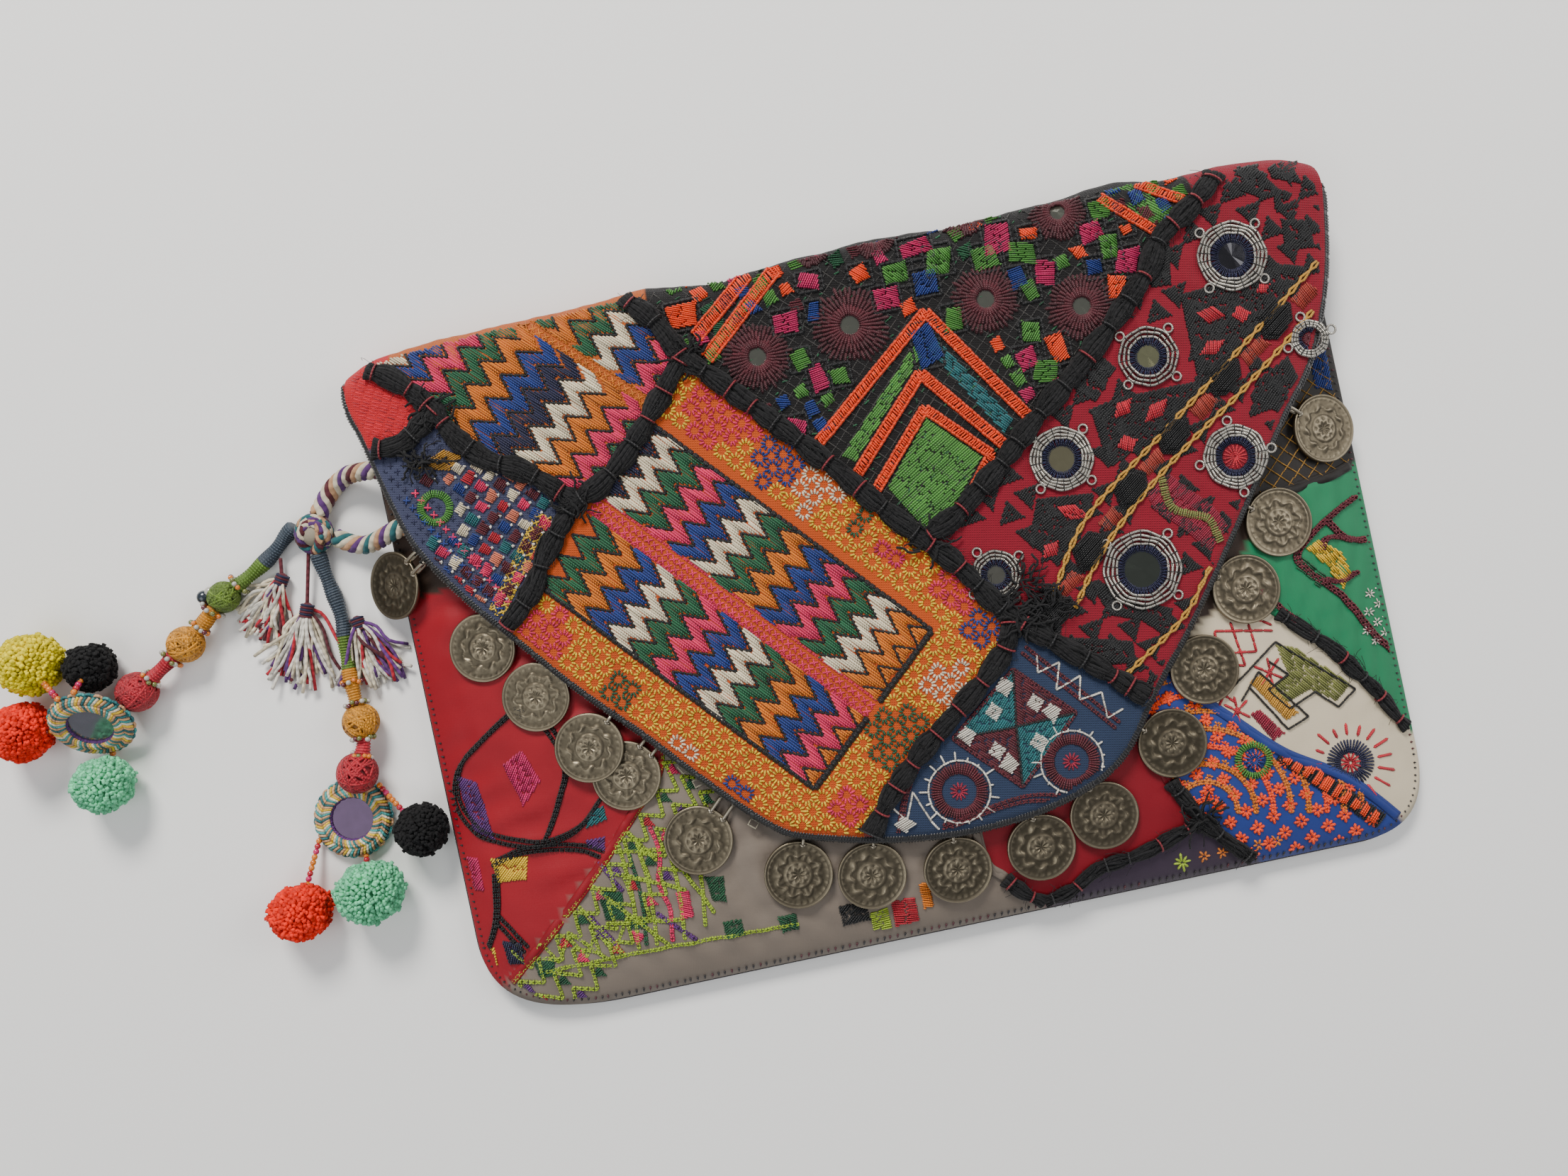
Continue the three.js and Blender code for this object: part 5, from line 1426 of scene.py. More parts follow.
def blue_patch():
    work = flap_work("blue")
    for x, y in ((3.5, -70), (43, -68)):
        work.rays((x, y), 5.6, 10, 60, .95, INK["maroon"], .7, ragged=.04)
        work.rays((x, y), 10, 13, 17, .75, INK["white"], .5, ragged=.12, lift=.2)
        angle = np.linspace(0, 2 * math.pi, 40)
        work.line(np.array([x, y]) + 10.6 * round_places(angle), .8, INK["white"], 2.6, lift=.3)
        work.rays((x, y), .4, 3.4, 12, .9, INK["crimson"], .5)
    diamond = np.array([(5, -52), (30, -33), (48, -52), (25, -73)], float)
    centre = diamond.mean(0)
    for k, name in enumerate(("teal", "maroon", "teal", "maroon")):
        a, b = diamond[k], diamond[(k + 1) % 4]
        work.satin([centre, a, b], 45 + 90 * k, .9, INK[name], 5, .5)
        middle = (a + b + centre) / 3
        work.satin([middle + [0, 3.4], middle + [3.4, 0], middle - [0, 3.4], middle - [3.4, 0]], 10, .85,
                   INK["white"], 5, .6, .3)
        work.line([a, b], 1.4, INK["maroon"], 2.2, .5, chain=True, curve=False, lift=.2)
        work.line([centre, a], 1.2, INK["black"], 2.2, .5, curve=False, lift=.3)
    zigzag = [(39, -30), (38, -36), (46, -34), (43, -43), (52, -40), (50, -48), (58, -47), (58, -56),
              (64, -54)]
    for line in (zigzag, [(-22, -68), (-16, -76), (-12, -67), (-8, -78), (-4, -84)]):
        for a, b in zip(line, line[1:]):
            work.line([a, b], .85, INK["white"], 3.4, .5, curve=False, lift=.15)
    for line in ([(34, -28), (52, -50), (60, -60)], [(2, -46), (-14, -66), (-20, -80)],
                 [(-6, -82), (24, -78), (46, -84)]):
        for shift in (0, 1.7):
            work.line(np.array(line, float) + shift, 1.4, INK["maroon"], 2.2, .5, chain=True, lift=.1)
    for x, y in ((26, -38), (10, -52), (40, -50), (22, -64), (-17, -77)):
        work.box(x - 2.6, x + 2.6, y - 2.6, y + 2.6, 20, .85, INK["white"], .7, .7, lift=.35)
    return work


def corner_patch():
    work = flap_work("corner")
    for off in np.arange(-40, 40, 1.15):
        start = np.array([-160.0, 100.0]) + np.array([.5, .87]) * off
        parts = start + np.array([.87, -.5]) * np.arange(-40, 40, 3.2)[:, None]
        work.add(parts[:-1], parts[1:], .6, .25, INK["red"] * 1.3, .12, .2)
    return work


# The embroidery of the front
def loose_line(work, points, name, width=1.5, step=2.0, lift=.1):
    work.line(points, width, INK[name], step, .55, chain=True, lift=lift)


def front_embroidery():
    left = front_work()
    braid = ([(-142, -12), (-155, -20), (-165, -28), (-168, -40), (-162, -52), (-150, -58), (-140, -60),
              (-128, -57),
              (-119, -49)], [(-160, -63), (-148, -61), (-130, -64), (-122, -68)],
             [(-160, -66), (-163, -82), (-170, -95)],
             [(-163, -82), (-155, -95)], [(-142, -12), (-132, -20), (-128, -34), (-133, -46), (-140, -58)])
    for line in braid:
        for shift in (-.8, .8):
            left.line(np.array(line, float) + shift, 1.5, INK["black"] * 1.3, 1.8, .8, chain=True, lift=.2)
    for shape, name in (([(-167, -30), (-160, -34), (-158, -56), (-165, -50)], "purple"),
                        ([(-126, -58), (-118, -56), (-118, -51), (-124, -53)], "teal"),
                        ([(-161, -61), (-148, -63), (-150, -71), (-160, -70)], "yellow"),
                        ([(-171, -58), (-165, -60), (-165, -72), (-171, -70)], "magenta"),
                        ([(-127, -62), (-120, -62), (-121, -67), (-127, -65)], "purple"),
                        ([(-170, -92), (-166, -92), (-166, -98), (-170, -98)], "yellow"),
                        ([(-163, -90), (-156, -92), (-157, -100), (-162, -99)], "navy"),
                        ([(-150, -30), (-142, -26), (-138, -38), (-146, -46)], "magenta")):
        left.satin(shape, rng.uniform(20, 70), .9, INK[name], 6, .7, .1)
    for x in (-116, -109.5, -99.5):
        loose_line(left, [(x, -66), (x + 1, -84), (x - .5, -103)], "lime")
    loose_line(left, [(-104, -62), (-102.5, -72), (-105, -82), (-103, -92), (-104.5, -103)], "pink", 1.7)
    loose_line(left, [(-113, -70), (-112, -86), (-113.5, -102)], "dark_green")
    loose_line(left, [(-150, -104), (-110, -104.5), (-60, -106)], "lime")
    loose_line(left, [(-92, -60), (-90, -80), (-92, -100)], "lime")
    for start, far in (((-128, -78), (-106, -104)), ((-134, -84), (-122, -104)), ((-118, -68), (-92, -72)),
                       ((-122, -74), (-96, -86)), ((-126, -92), (-100, -96)), ((-140, -92), (-128, -104)),
                       ((-112, -62), (-104, -74)), ((-98, -74), (-88, -96))):
        left.line([start, far], 1.5, INK["lime"], 2.0, .6, chain=True, curve=False, lift=.15)
    for start, far in (((-124, -70), (-118, -82)), ((-131, -88), (-124, -100)), ((-108, -92), (-96, -104))):
        left.line([start, far], 1.6, INK["purple"], 2.0, .6, chain=True, curve=False, lift=.15)
    rows = spaced(np.stack(front_xy(*FRONT_SEAMS["lime"]), 1) - [2.65, -.25], 5.2)
    into = np.array([.61, -.79])
    for depth, reach in ((6, 3.6), (14, 4.2), (22, 3.6)):
        zig = rows + into * (depth + reach * (-1.0) ** np.arange(len(rows)))[:, None]
        left.line(zig, 1.4, INK["lime"], 2.0, .6, chain=True, curve=False, lift=.2)
        for k, spot in enumerate(rows[1:-1:2] + into * depth):
            tone = ("dark_green", "purple", "pink", "dark_green", "red")[(k + int(depth)) % 5]
            left.satin([spot + [-2.6, -1.6], spot + [2.4, -2], spot + [.4, 2.8]], 30, .9, INK[tone], 5, .55,
                       .1)
    zigzag = [(-160 + 5 * k, -94 - 8 * (k % 2)) for k in range(9)]
    for a, b in zip(zigzag, zigzag[1:]):
        left.line([a, b], 1.3, INK["lime"], 2.2, .5, chain=True, curve=False, lift=.1)
    for shape, name in (([(-127, -80), (-118, -82), (-119, -92), (-126, -91)], "dark_green"),
                        ([(-154, -100), (-146, -100), (-147, -106), (-153, -106)], "dark_green"),
                        ([(-89, -83), (-82, -84), (-83, -93), (-88, -92)], "dark_green"),
                        ([(-86, -100), (-79, -100), (-79, -106), (-86, -106)], "dark_green"),
                        ([(-67, -102), (-60, -102), (-60, -108), (-66, -108)], "dark_green"),
                        ([(-118, -96), (-113, -99), (-117, -102)], "pink"),
                        ([(-45, -103), (-35, -103), (-35, -110), (-45, -110)], "black"),
                        ([(-35, -107), (-28, -107), (-28, -114), (-35, -114)], "lime"),
                        ([(-27, -105), (-18, -105), (-18, -114), (-27, -114)], "red"),
                        ([(-16, -101), (-12, -101), (-12, -110), (-16, -110)], "orange"),
                        ([(-60, -88), (-50, -84), (-48, -92), (-58, -96)], "lime"),
                        ([(-100, -86), (-95, -86), (-95, -96), (-100, -96)], "pink")):
        left.satin(shape, rng.uniform(-40, 40), .9, INK[name], 6, .6, .1)
    lime_edge = np.stack(front_xy(*FRONT_SEAMS["lime"]), 1) - [2.65, -.25]
    loose_line(left, lime_edge * [.97, .97] + [-2, -2], "lime", 1.7)
    yield left.made("front_left_stitches", THREAD), "satin"

    right = front_work()
    held = right.rooms
    right.rooms = held + [FRONT_OUTLINES["royal"]]
    for k, radius in enumerate(np.arange(5, 60, 6.2)):
        angle = np.linspace(-.2, math.pi * .75, 30)
        arc = np.array([88.0, -98.0]) + radius * round_places(angle)
        name = ("fluo", "amber", "orange")[k % 3]
        loose_line(right, arc, name, 2.0, 2.2)
        petals = spaced(arc + [0, 1.6], 4.2)
        right.stars(petals, 1.7, .8, INK[name], 6, lift=.1)
    florets = grid(60, 150, -118, -40, 6.9, .4)
    right.stars(florets, 2.9, 1.2, INK["fluo"], 8, lift=.3)
    right.rays((108, -83), 4, 7, 40, .9, INK["grass"], .7, lift=.4)
    right.rays((108, -83), .3, 4, 14, .9, INK["blue"], .6, lift=.4)
    bar = spaced(np.array([(118, -83), (147, -113)], float), 1.0)
    side = np.array([.71, .7])
    right.add(bar - side * 3.4, bar + side * 3.4, 1.2, .5, INK["black"], .1, .1, .3)
    for place in spaced(np.array([(120, -85), (145, -111)], float), 4.2):
        right.box(place[0] - 2.6, place[0] + 2.6, place[1] - 1.2, place[1] + 1.2, 45, .9, INK["fluo"], .8,
                  .78, lift=.6)
    right.rooms = held + [FRONT_OUTLINES["cream"]]
    for a, b in (((104, -36), (124, -40)), ((104, -36), (103, -50)), ((103, -44), (117, -46)),
                 ((117, -46), (116, -36)),
                 ((110, -34), (112, -50)), ((104, -48), (112, -50)), ((100, -56), (106, -62)),
                 ((106, -54), (100, -62)),
                 ((115, -51), (124, -57)), ((124, -50), (116, -58)), ((120, -49), (120, -60)),
                 ((102, -62), (110, -68)),
                 ((110, -62), (102, -68)), ((106, -60), (106, -70)), ((118, -34), (124, -38))):
        right.line([a, b], 1.0, INK["red"], 3.2, .5, curve=False, lift=.15)
    right.satin([(124, -45), (130, -47), (147, -64), (141, -69), (133, -63), (123, -66), (118, -60),
                 (126, -56)], -52,
                .9, INK["olive"] * 1.25, 7, .6)
    right.satin([(112, -56), (117, -54), (127, -70), (122, -72)], 45, .9, INK["gold"] * 1.2, 8, .6)
    right.satin([(110, -67), (114, -66), (121, -76), (116, -78)], 40, .9, INK["crimson"], 8, .6)
    for line in ([(104, -58), (124, -44), (128, -48), (148, -66), (141, -71), (134, -64), (124, -68),
                  (118, -60),
                  (126, -56), (120, -50)], [(108, -62), (116, -53), (130, -72), (122, -75), (112, -58)]):
        right.line(line, .8, INK["black"], 2.6, .5, curve=False, lift=.5)
    right.rays((141, -91), 3, 8.6, 42, .9, INK["navy"], .6)
    right.rays((141, -91), 9.4, 15, 17, 1.3, INK["red"], .6, ragged=.12)
    right.rays((141, -91), .4, 4, 12, .9, INK["red"], .6, lift=.2)
    right.rooms = held + [FRONT_OUTLINES["green"]]
    for line in ([(162, 0), (150, -6), (138, -15), (140, -22), (150, -33), (158, -48), (165, -60),
                  (164, -84)],
                 [(122, -25), (132, -38), (141, -50), (150, -62), (158, -76)],
                 [(162, -16), (150, -12), (146, -16)],
                 [(150, -6), (156, -14), (162, -15)], [(145, -26), (151, -28), (157, -26)]):
        for shift in (-.6, .6):
            right.line(np.array(line, float) + [shift, 0], 1.6, INK["maroon"] * 1.3, 1.9, .9, chain=True,
                       lift=.2)
    right.satin([(141, -14), (146, -12), (153, -18), (155, -26), (151, -31), (147, -22)], -60, .9,
                INK["yellow"], 6, .9)
    right.satin([(136, -19), (139, -17), (146, -25), (143, -29)], -50, .9, INK["green"], 5, .8)
    right.stars(grid(156, 166, -52, -32, 4.6, .5), 2.1, .6, INK["white"], 7, lift=.3)
    right.rooms = held + [FRONT_OUTLINES["net"]]
    mesh_points = grid(110, 172, 0, 90, 4.2, .78)
    right.crosses(mesh_points, 4.6, .5, INK["gold"] * .7, 0)
    right.satin([(157, 56), (163, 54), (162, 38), (156, 40)], 60, .9, INK["blue"], 6, .6)
    right.rooms = held
    right.stars(np.array([[76.0, -113.0]]), 3.4, 1.0, INK["lime"], 8)
    for x in np.arange(84, 116, 6.5):
        right.stars(np.array([[x, -112.5]]), 2.4, .9, INK["amber"], 6)
    yield right.made("front_right_stitches", THREAD), "satin"


def embroidery():
    made = []
    for name, patch in (("orange", orange_patch), ("chevron", chevron_patch), ("lattice", lattice_patch),
                        ("net", net_patch), ("twill", twill_patch), ("blue", blue_patch),
                        ("corner", corner_patch)):
        made.append((patch().made(f"stitches_{name}", THREAD), "embroidered_cloth"))
    made += list(front_embroidery())
    made.append((silver.made("silver_purl", SILVER), "embroidered_cloth"))
    made.append((purl_ties.made("purl_ties", THREAD), "embroidered_cloth"))
    made.append((gold.made("gold_chain", THREAD), "embroidered_cloth"))
    made.append((glass.made("small_mirrors", GLASS, smooth=False), "mirror_ring"))


embroidery()


# The coins
def coin_relief(r, angle, kind):
    """Height of a worn face: raised rim, bead border, and a wreath or a rosette."""
    rim = .42 * (r > .93) + .2 * np.exp(-((r - .9) / .02) ** 2)
    beads = .3 * np.exp(-((r - .845) / .035) ** 2) * np.clip(np.cos(30 * angle), 0, 1)
    ring = .24 * np.exp(-((r - .36) / .035) ** 2)
    petals = .34 * np.exp(-((r - .17 - .08 * np.abs(np.cos(4 * angle))) / .09) ** 2)
    if kind:
        leaf = np.clip(np.sin(9 * angle + 7 * r), 0, 1) * np.exp(-((r - .62) / .11) ** 2)
        stem = np.exp(-((r - .6 - .05 * np.sin(9 * angle)) / .022) ** 2)
        return rim + beads + .3 * leaf + .22 * stem + ring + petals
    rays = np.clip(np.cos(16 * angle), 0, 1) * np.exp(-((r - .58) / .12) ** 2)
    lobes = np.exp(-((r - .6 - .07 * np.cos(8 * angle)) / .03) ** 2)
    return rim + beads + .2 * rays + .28 * lobes + ring + petals


def coin_frame(across, up, rise, droop):
    """Centre, axes and reach of a coin hung from the nearest stretch of the flap's edge."""
    towards = np.array(front_xy(across, up))
    line = spaced(aside(EDGE, 1.6), .8)
    hook = line[np.argmin(np.linalg.norm(line - towards, axis=1))]
    centre = over_front(*towards, 0)
    seat = centre + [0, 0, COIN_LOW + (.5 + rise) * COIN_THICK]
    lean = np.array([front_z(centre[0] - 1, centre[1]) - front_z(centre[0] + 1, centre[1]),
                     front_z(centre[0], centre[1] - 1) - front_z(centre[0], centre[1] + 1), 2])
    lean = lean / np.linalg.norm(lean)
    pull = over_flap(*hook, FLAP_THICK / 2 + .35) - seat
    if droop:
        turn = math.radians(droop)
        hung = np.array([math.copysign(math.sin(turn), centre[0]), 0, math.cos(turn)])
        way = pull / np.linalg.norm(pull)
        lean = hung - way * np.dot(hung, way)
        lean = lean / np.linalg.norm(lean)
    side = np.cross(pull, lean)
    side = side / np.linalg.norm(side)
    reach = max(np.linalg.norm(pull) - COIN_R - 1.6 - .35, .5)
    return seat, np.array([side, np.cross(lean, side), lean]), reach


def struck_disc():
    """A thin disc cut into rings by insets and given its wall, ready to take a relief."""
    bpy.ops.object.select_all(action="DESELECT")
    bpy.ops.mesh.primitive_circle_add(vertices=COIN_SIDES, radius=COIN_R, fill_type="NGON")
    bpy.ops.object.mode_set(mode="EDIT")
    bpy.ops.mesh.select_all(action="SELECT")
    for _ in range(COIN_RINGS):
        bpy.ops.mesh.inset(thickness=COIN_R / (COIN_RINGS + 1))
    bpy.ops.mesh.poke()
    bpy.ops.object.mode_set(mode="OBJECT")
    disc = bpy.context.object
    shell = disc.modifiers.new("wall", "SOLIDIFY")
    shell.thickness = COIN_WALL
    shell.offset = -1
    bpy.ops.object.modifier_apply(modifier="wall")
    return shape_of(disc)


def coins():
    disc, quads, tris = struck_disc()
    r = np.hypot(disc[:, 0], disc[:, 1]) / COIN_R
    angle = np.arctan2(disc[:, 1], disc[:, 0])
    upper = disc[:, 2] > -.7
    for number, (across, up, bails, rise, droop) in enumerate(COINS):
        seat, axes, reach = coin_frame(across, up, rise, droop)
        heap = Heap()
        wear = rng.uniform(.75, 1.0)
        relief = coin_relief(r, angle + rng.uniform(0, 6), number % 2) * wear
        z = np.where(upper, .25 + relief * 1.5 + .03 * wave_noise(disc[:, 0], disc[:, 1], 6, number), -.8)
        z[upper & (r > .99)] = .62
        local = np.stack([disc[:, 0], disc[:, 1], z], -1)
        shade = np.where(upper, .38 + 1.5 * np.clip(relief, 0, .5), .8)
        tint = shade[:, None] * rgb("9b8f78") * rng.uniform(.85, 1.1)
        heap.put(seat + local @ axes, quads, tris, tint)
        for i in range(bails):
            off = (i - (bails - 1) / 2) * BAIL_PITCH
            near, far = COIN_R - 1.2, COIN_R + reach + .2
            loop = np.array([[off, near, .9], [off, (near + far) / 2, 1.15], [off, far, .8],
                             [off, far + .3, 0],
                             [off, far, -.8], [off, (near + far) / 2, -1.1], [off, near, -.9]])
            heap.tube(seat + spaced(loop, .7) @ axes, .62, rgb("b5ab98"), 8)
            heap.tube(seat + np.array([[off - 1.1, near + .2, .5], [off, near - .4, .9],
                                       [off + 1.1, near + .2, .5]])
                      @ axes, .55, rgb("b5ab98"), 7)
        made = heap.made(f"worn_coin_{number + 1}", COIN)
        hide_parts(f"coin_{number + 1}")
    thread = Heap()
    for across, up, bails, rise, droop in COINS:
        seat, axes, reach = coin_frame(across, up, rise, droop)
        for i in range(bails):
            off = (i - (bails - 1) / 2) * BAIL_PITCH
            start = seat + np.array([off, COIN_R + reach * .6, 0]) @ axes
            for _ in range(3):
                way = rng.normal(0, .5, 3)
                path = np.array([start + way * .5, start + np.array([0, 2.4, .8]) @ axes + way,
                                 start + np.array([0, 3.4, 3.0]) @ axes + way * .6])
                thread.tube(spaced(path, .8), .22, BLACK, 5)
    for place in ((-88, -44), (-84, -50), (-68, -68), (155, 52), (158, 57)):
        at = seen(np.array([place], float), 14, over_front, 6)[0]
        p = over_front(*at, 6)
        square = np.array([[-1.5, -1.2, 0], [1.5, -1.2, 0], [1.5, 1.2, 0], [-1.5, 1.2, 0]])
        turn = rng.uniform(0, 3)
        c, s = math.cos(turn), math.sin(turn)
        thread.tube(p + square @ np.array([[c, s, 0], [-s, c, 0], [0, 0, 1]]), .35, rgb("8f8875"), 5,
                    closed=True)
    thread.made("coin_threads", THREAD)


coins()

# The charms: the CAD part's routes and places
ROUTES = {
    "upper": [(-165.5, 80, 12.1), (-170, 80.3, 11.6), (-173.6, 80.8, 10.2), (-177, 81.2, 8.4),
              (-180.6, 81.4, 6.5),
              (-184.4, 80.3, 4.9), (-188, 78.3, 3.9), (-190.8, 75.8, 3.5), (-193, 73, 3.8),
              (-195, 69.8, 4.6)],
    "lower": [(-160.5, 59.6, 12.7), (-165, 58.6, 12.3), (-169.2, 57.6, 11), (-173, 56.7, 9.1),
              (-177, 56, 6.9),
              (-181, 56, 5), (-184.8, 57.2, 3.9), (-187.6, 58.8, 3.8), (-190.6, 60.8, 4.2)],
    "left": [(-204.6, 67.4, 4.4), (-208.3, 65.1, 3.4), (-212.7, 61.5, 2.8), (-217.4, 58, 2.8),
             (-222, 55, 3.4),
             (-228, 51.4, 4.8), (-233.9, 47.9, 5.9), (-238, 44.4, 6.2), (-241.8, 40.9, 6.3),
             (-246.6, 37, 6.5),
             (-251.3, 33.4, 6.7), (-256, 30.2, 6.9), (-260.6, 27.3, 7.1), (-265.3, 24.3, 7.4),
             (-269.9, 21.4, 7.7),
             (-273.4, 19.2, 8)],
    "right": [(-198, 56.5, 4.5), (-197.6, 50, 3.2), (-196.6, 43.5, 2.7), (-195.6, 37.5, 2.7),
              (-195.2, 31.3, 2.7),
              (-195.4, 25.5, 2.8), (-195.9, 19, 3.1), (-196, 12.5, 3.9), (-195.6, 6, 5.1), (-195, 0, 6.2),
              (-194.6, -6, 6.8), (-194.6, -11, 7.4), (-195.5, -15.2, 8.2), (-197, -19, 9),
              (-198.6, -22.7, 9.6),
              (-200.2, -26.4, 10.2)],
}
KNOT = np.array([-197.6, 63.6, 5.2])
BALLS = [("left_knob", "left", .415, 11.0, "5f7a1c"), ("left_ball_orange", "left", .665, 12.6, "cf8a12"),
         ("left_ball_red", "left", .948, 14.0, "ab1626"),
         ("right_ball_orange", "right", .735, 12.6, "cf8a12"),
         ("right_ball_red", "right", .95, 14.0, "ab1626")]
RINGS = [("left_ring", (-285.7, 13.8, 10.9), 38), ("right_ring", (-205.9, -38.6, 2.4), 0)]
POMPOMS = [("left_pompom_yellow", (-302.4, 38.6, 11.3), 22, 1, (-290.6, 24.5, 19.2), "f0dc00"),
           ("left_pompom_orange", (-310.4, 16, 10.9), 21, 1, (-299.9, 14.2, 11.2), "ff2600"),
           ("left_pompom_black", (-283.4, 33.2, 8.9), 17, 1, (-284.3, 25.7, 19.8), "050405"),
           ("left_pompom_mint", (-286.6, -8, 10.4), 19.6, 1.08, (-285.9, 1.9, 2), "78dca6"),
           ("right_pompom_black", (-180.6, -46.8, 9.6), 18.6, 1, (-194.3, -29.1, 2.6), "050405"),
           ("right_pompom_mint", (-202.4, -64.4, 11.3), 22, 1.12, (-204.2, -52.7, 2.5), "78dca6"),
           ("right_pompom_orange", (-228, -66.4, 10.3), 19.6, 1.15, (-219.7, -44.1, 2.6), "ff2600")]
TASSELS = [("tassel_left", (-213, 50.6, 3), 237, 21, (-212.2, 57.9, 2.6)),
           ("tassel_middle", (-206.4, 38.4, 3), 248, 27, (-201.3, 57.8, 4.2)),
           ("tassel_right", (-189.6, 30, 3), 278, 23, (-192.5, 30.6, 3))]


def frames_along(line):
    way = np.gradient(line, axis=0)
    way /= np.linalg.norm(way, axis=1)[:, None]
    side = np.cross(way, [0, 0, 1.0])
    side /= np.linalg.norm(side, axis=1)[:, None]
    return way, side, np.cross(side, way)


def metres(points):
    return [Vector((*((np.asarray(p) + SHIFT) * MM),)) for p in points]


def twisted(name, radius, plies, lay_length, tints):
    """A cord of plies laid round each other."""
    line = spaced(ROUTES[name], .7)
    _, side, up = frames_along(line)
    along = np.arange(len(line)) * .7
    heap = Heap()
    for k in range(plies):
        turn = 2 * math.pi * (k / plies + along / lay_length)
        off = radius * .62 * (np.cos(turn)[:, None] * side + np.sin(turn)[:, None] * up)
        heap.tube(line + off, radius * .42, INK[tints[k % len(tints)]] * .8, 7)
    return heap


def wrapped(name, radius, stretches):
    """A strand bound with thread in stretches of colour."""
    line = spaced(ROUTES[name], .5)
    way, side, up = frames_along(line)
    heap = Heap()
    share = np.linspace(0, 1, len(line))
    tint = np.array([INK[next(c for end, c in stretches if s <= end)] for s in share])
    radius = radius * (1 + .12 * np.sin(np.arange(len(line)) * .21 + 1))
    heap.tube(line, radius * .86, tint, 10)
    angle = np.linspace(0, 2 * math.pi, 11)[:-1]
    for i in range(1, len(line) - 1, 2):
        ring = line[i] + radius[i] * .88 * (np.cos(angle)[:, None] * side[i] + np.sin(angle)[:, None] * up[i])
        ring = ring + way[i] * (np.sin(angle) * .3)[:, None]
        heap.tube(ring, .34, tint[i] * rng.uniform(.8, 1.2), 5, closed=True)
    return heap


def ball_of_thread(name, strand, along, diameter, colour):
    line = spaced(ROUTES[strand], .3)
    i = int(round(along * (len(line) - 1)))
    axis = line[min(i + 1, len(line) - 1)] - line[i - 1]
    axis /= np.linalg.norm(axis)
    centre = line[i]
    heap = Heap()
    # The core under the windings is the thread colour darkened to half: painted shade between the loops.
    heap.ball(centre, diameter / 2 - .75, rgb(colour) * .5, 20, 12)
    angle = np.linspace(0, 2 * math.pi, 25)[:-1]
    for _ in range(BALL_TURNS):
        tilt = rng.normal(0, 1, 3)
        tilt /= np.linalg.norm(tilt)
        a = np.cross(tilt, [.3, .5, .8])
        a /= np.linalg.norm(a)
        b = np.cross(tilt, a)
        radius = diameter / 2 - .6 + .45 * rng.random()
        loop = centre + radius * (np.cos(angle)[:, None] * a + np.sin(angle)[:, None] * b)
        heap.tube(loop, .5, rgb(colour) * rng.uniform(.55, 1.3), 4, closed=True)
    made = heap.made(f"wound_{name}", THREAD)
    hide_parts(name)
    return made


def crochet_ring(name, place, slope):
    """A mirror in a ring of crochet, with a scalloped edge."""
    turn = math.radians(slope)
    axes = np.array([[1, 0, 0], [0, math.cos(turn), math.sin(turn)], [0, -math.sin(turn), math.cos(turn)]])
    place = np.array(place)
    heap = Heap()
    angle = np.linspace(0, 2 * math.pi, 61)[:-1]
    for radius, colour, level, thick in ((8.3, "purple", .9, 1.0), (9.9, "tan", .55, 1.3),
                                         (11.6, "tan", .2, 1.35),
                                         (12.6, "teal", -.3, 1.0), (9.0, "tan", -1.0, 1.2),
                                         (11.4, "tan", -.9, 1.2)):
        wave = radius * (1 + .02 * np.sin(20 * angle))
        path = np.stack([np.cos(angle) * wave, np.sin(angle) * wave, level + .3 * np.sin(30 * angle)], -1)
        heap.tube(place + path @ axes, thick, INK[colour], 8, closed=True)
    for k in range(66):
        a = 2 * math.pi * k / 66
        tone = ("tan", "teal", "tan", "yellow", "cream", "aqua")[k % 6]
        for inner, outer, slant, level in ((7.9, 10.6, .16, 1.9), (10.2, 13.4, -.16, 1.5)):
            r = np.linspace(inner, outer, 4)
            turned = a + slant * np.linspace(-.5, .5, 4) + (.05 if slant < 0 else 0)
            path = np.stack([np.cos(turned) * r, np.sin(turned) * r,
                             level + np.array([0, .35, .3, -.7 if slant < 0 else 0])], -1)
            heap.tube(place + path @ axes, .52, INK[tone] * rng.uniform(.75, 1.2), 5)
    for k in range(30):
        a = 2 * math.pi * (k + .5) / 30
        arc = np.linspace(-.5, math.pi + .5, 7)
        radial, across = 13.1 + .9 * np.sin(arc), np.cos(arc) * 1.3
        path = np.stack([math.cos(a) * radial - math.sin(a) * across,
                         math.sin(a) * radial + math.cos(a) * across,
                         0 * arc], -1)
        heap.tube(place + path @ axes, .5, INK[("aqua", "tan", "teal")[k % 3]], 6)
    made = heap.made(f"crochet_{name}", THREAD)
    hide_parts(name)
    # The pane's colour is a painted reflection: light grey where the ring is tilted, dark purple where it
    # lies flat.
    pane = Heap()
    disc = np.stack([np.cos(angle) * 7.6, np.sin(angle) * 7.6], -1)
    n = len(angle)
    k = np.arange(n)
    after = (k + 1) % n
    local = np.vstack([np.c_[disc, np.full(n, .8)], np.c_[disc, np.full(n, -.8)], [0, 0, .8], [0, 0, -.8]])
    pane.put(place + local @ axes, np.stack([k, k + n, after + n, after], -1),
             np.vstack([np.stack([k, after, np.full(n, 2 * n)], -1),
                        np.stack([after + n, k + n, np.full(n, 2 * n + 1)], -1)]),
             rgb("8c8a92" if slope else "4a3550"))
    pane_piece = pane.made(f"pane_{name}", GLASS, smooth=False)
    return [made, pane_piece]


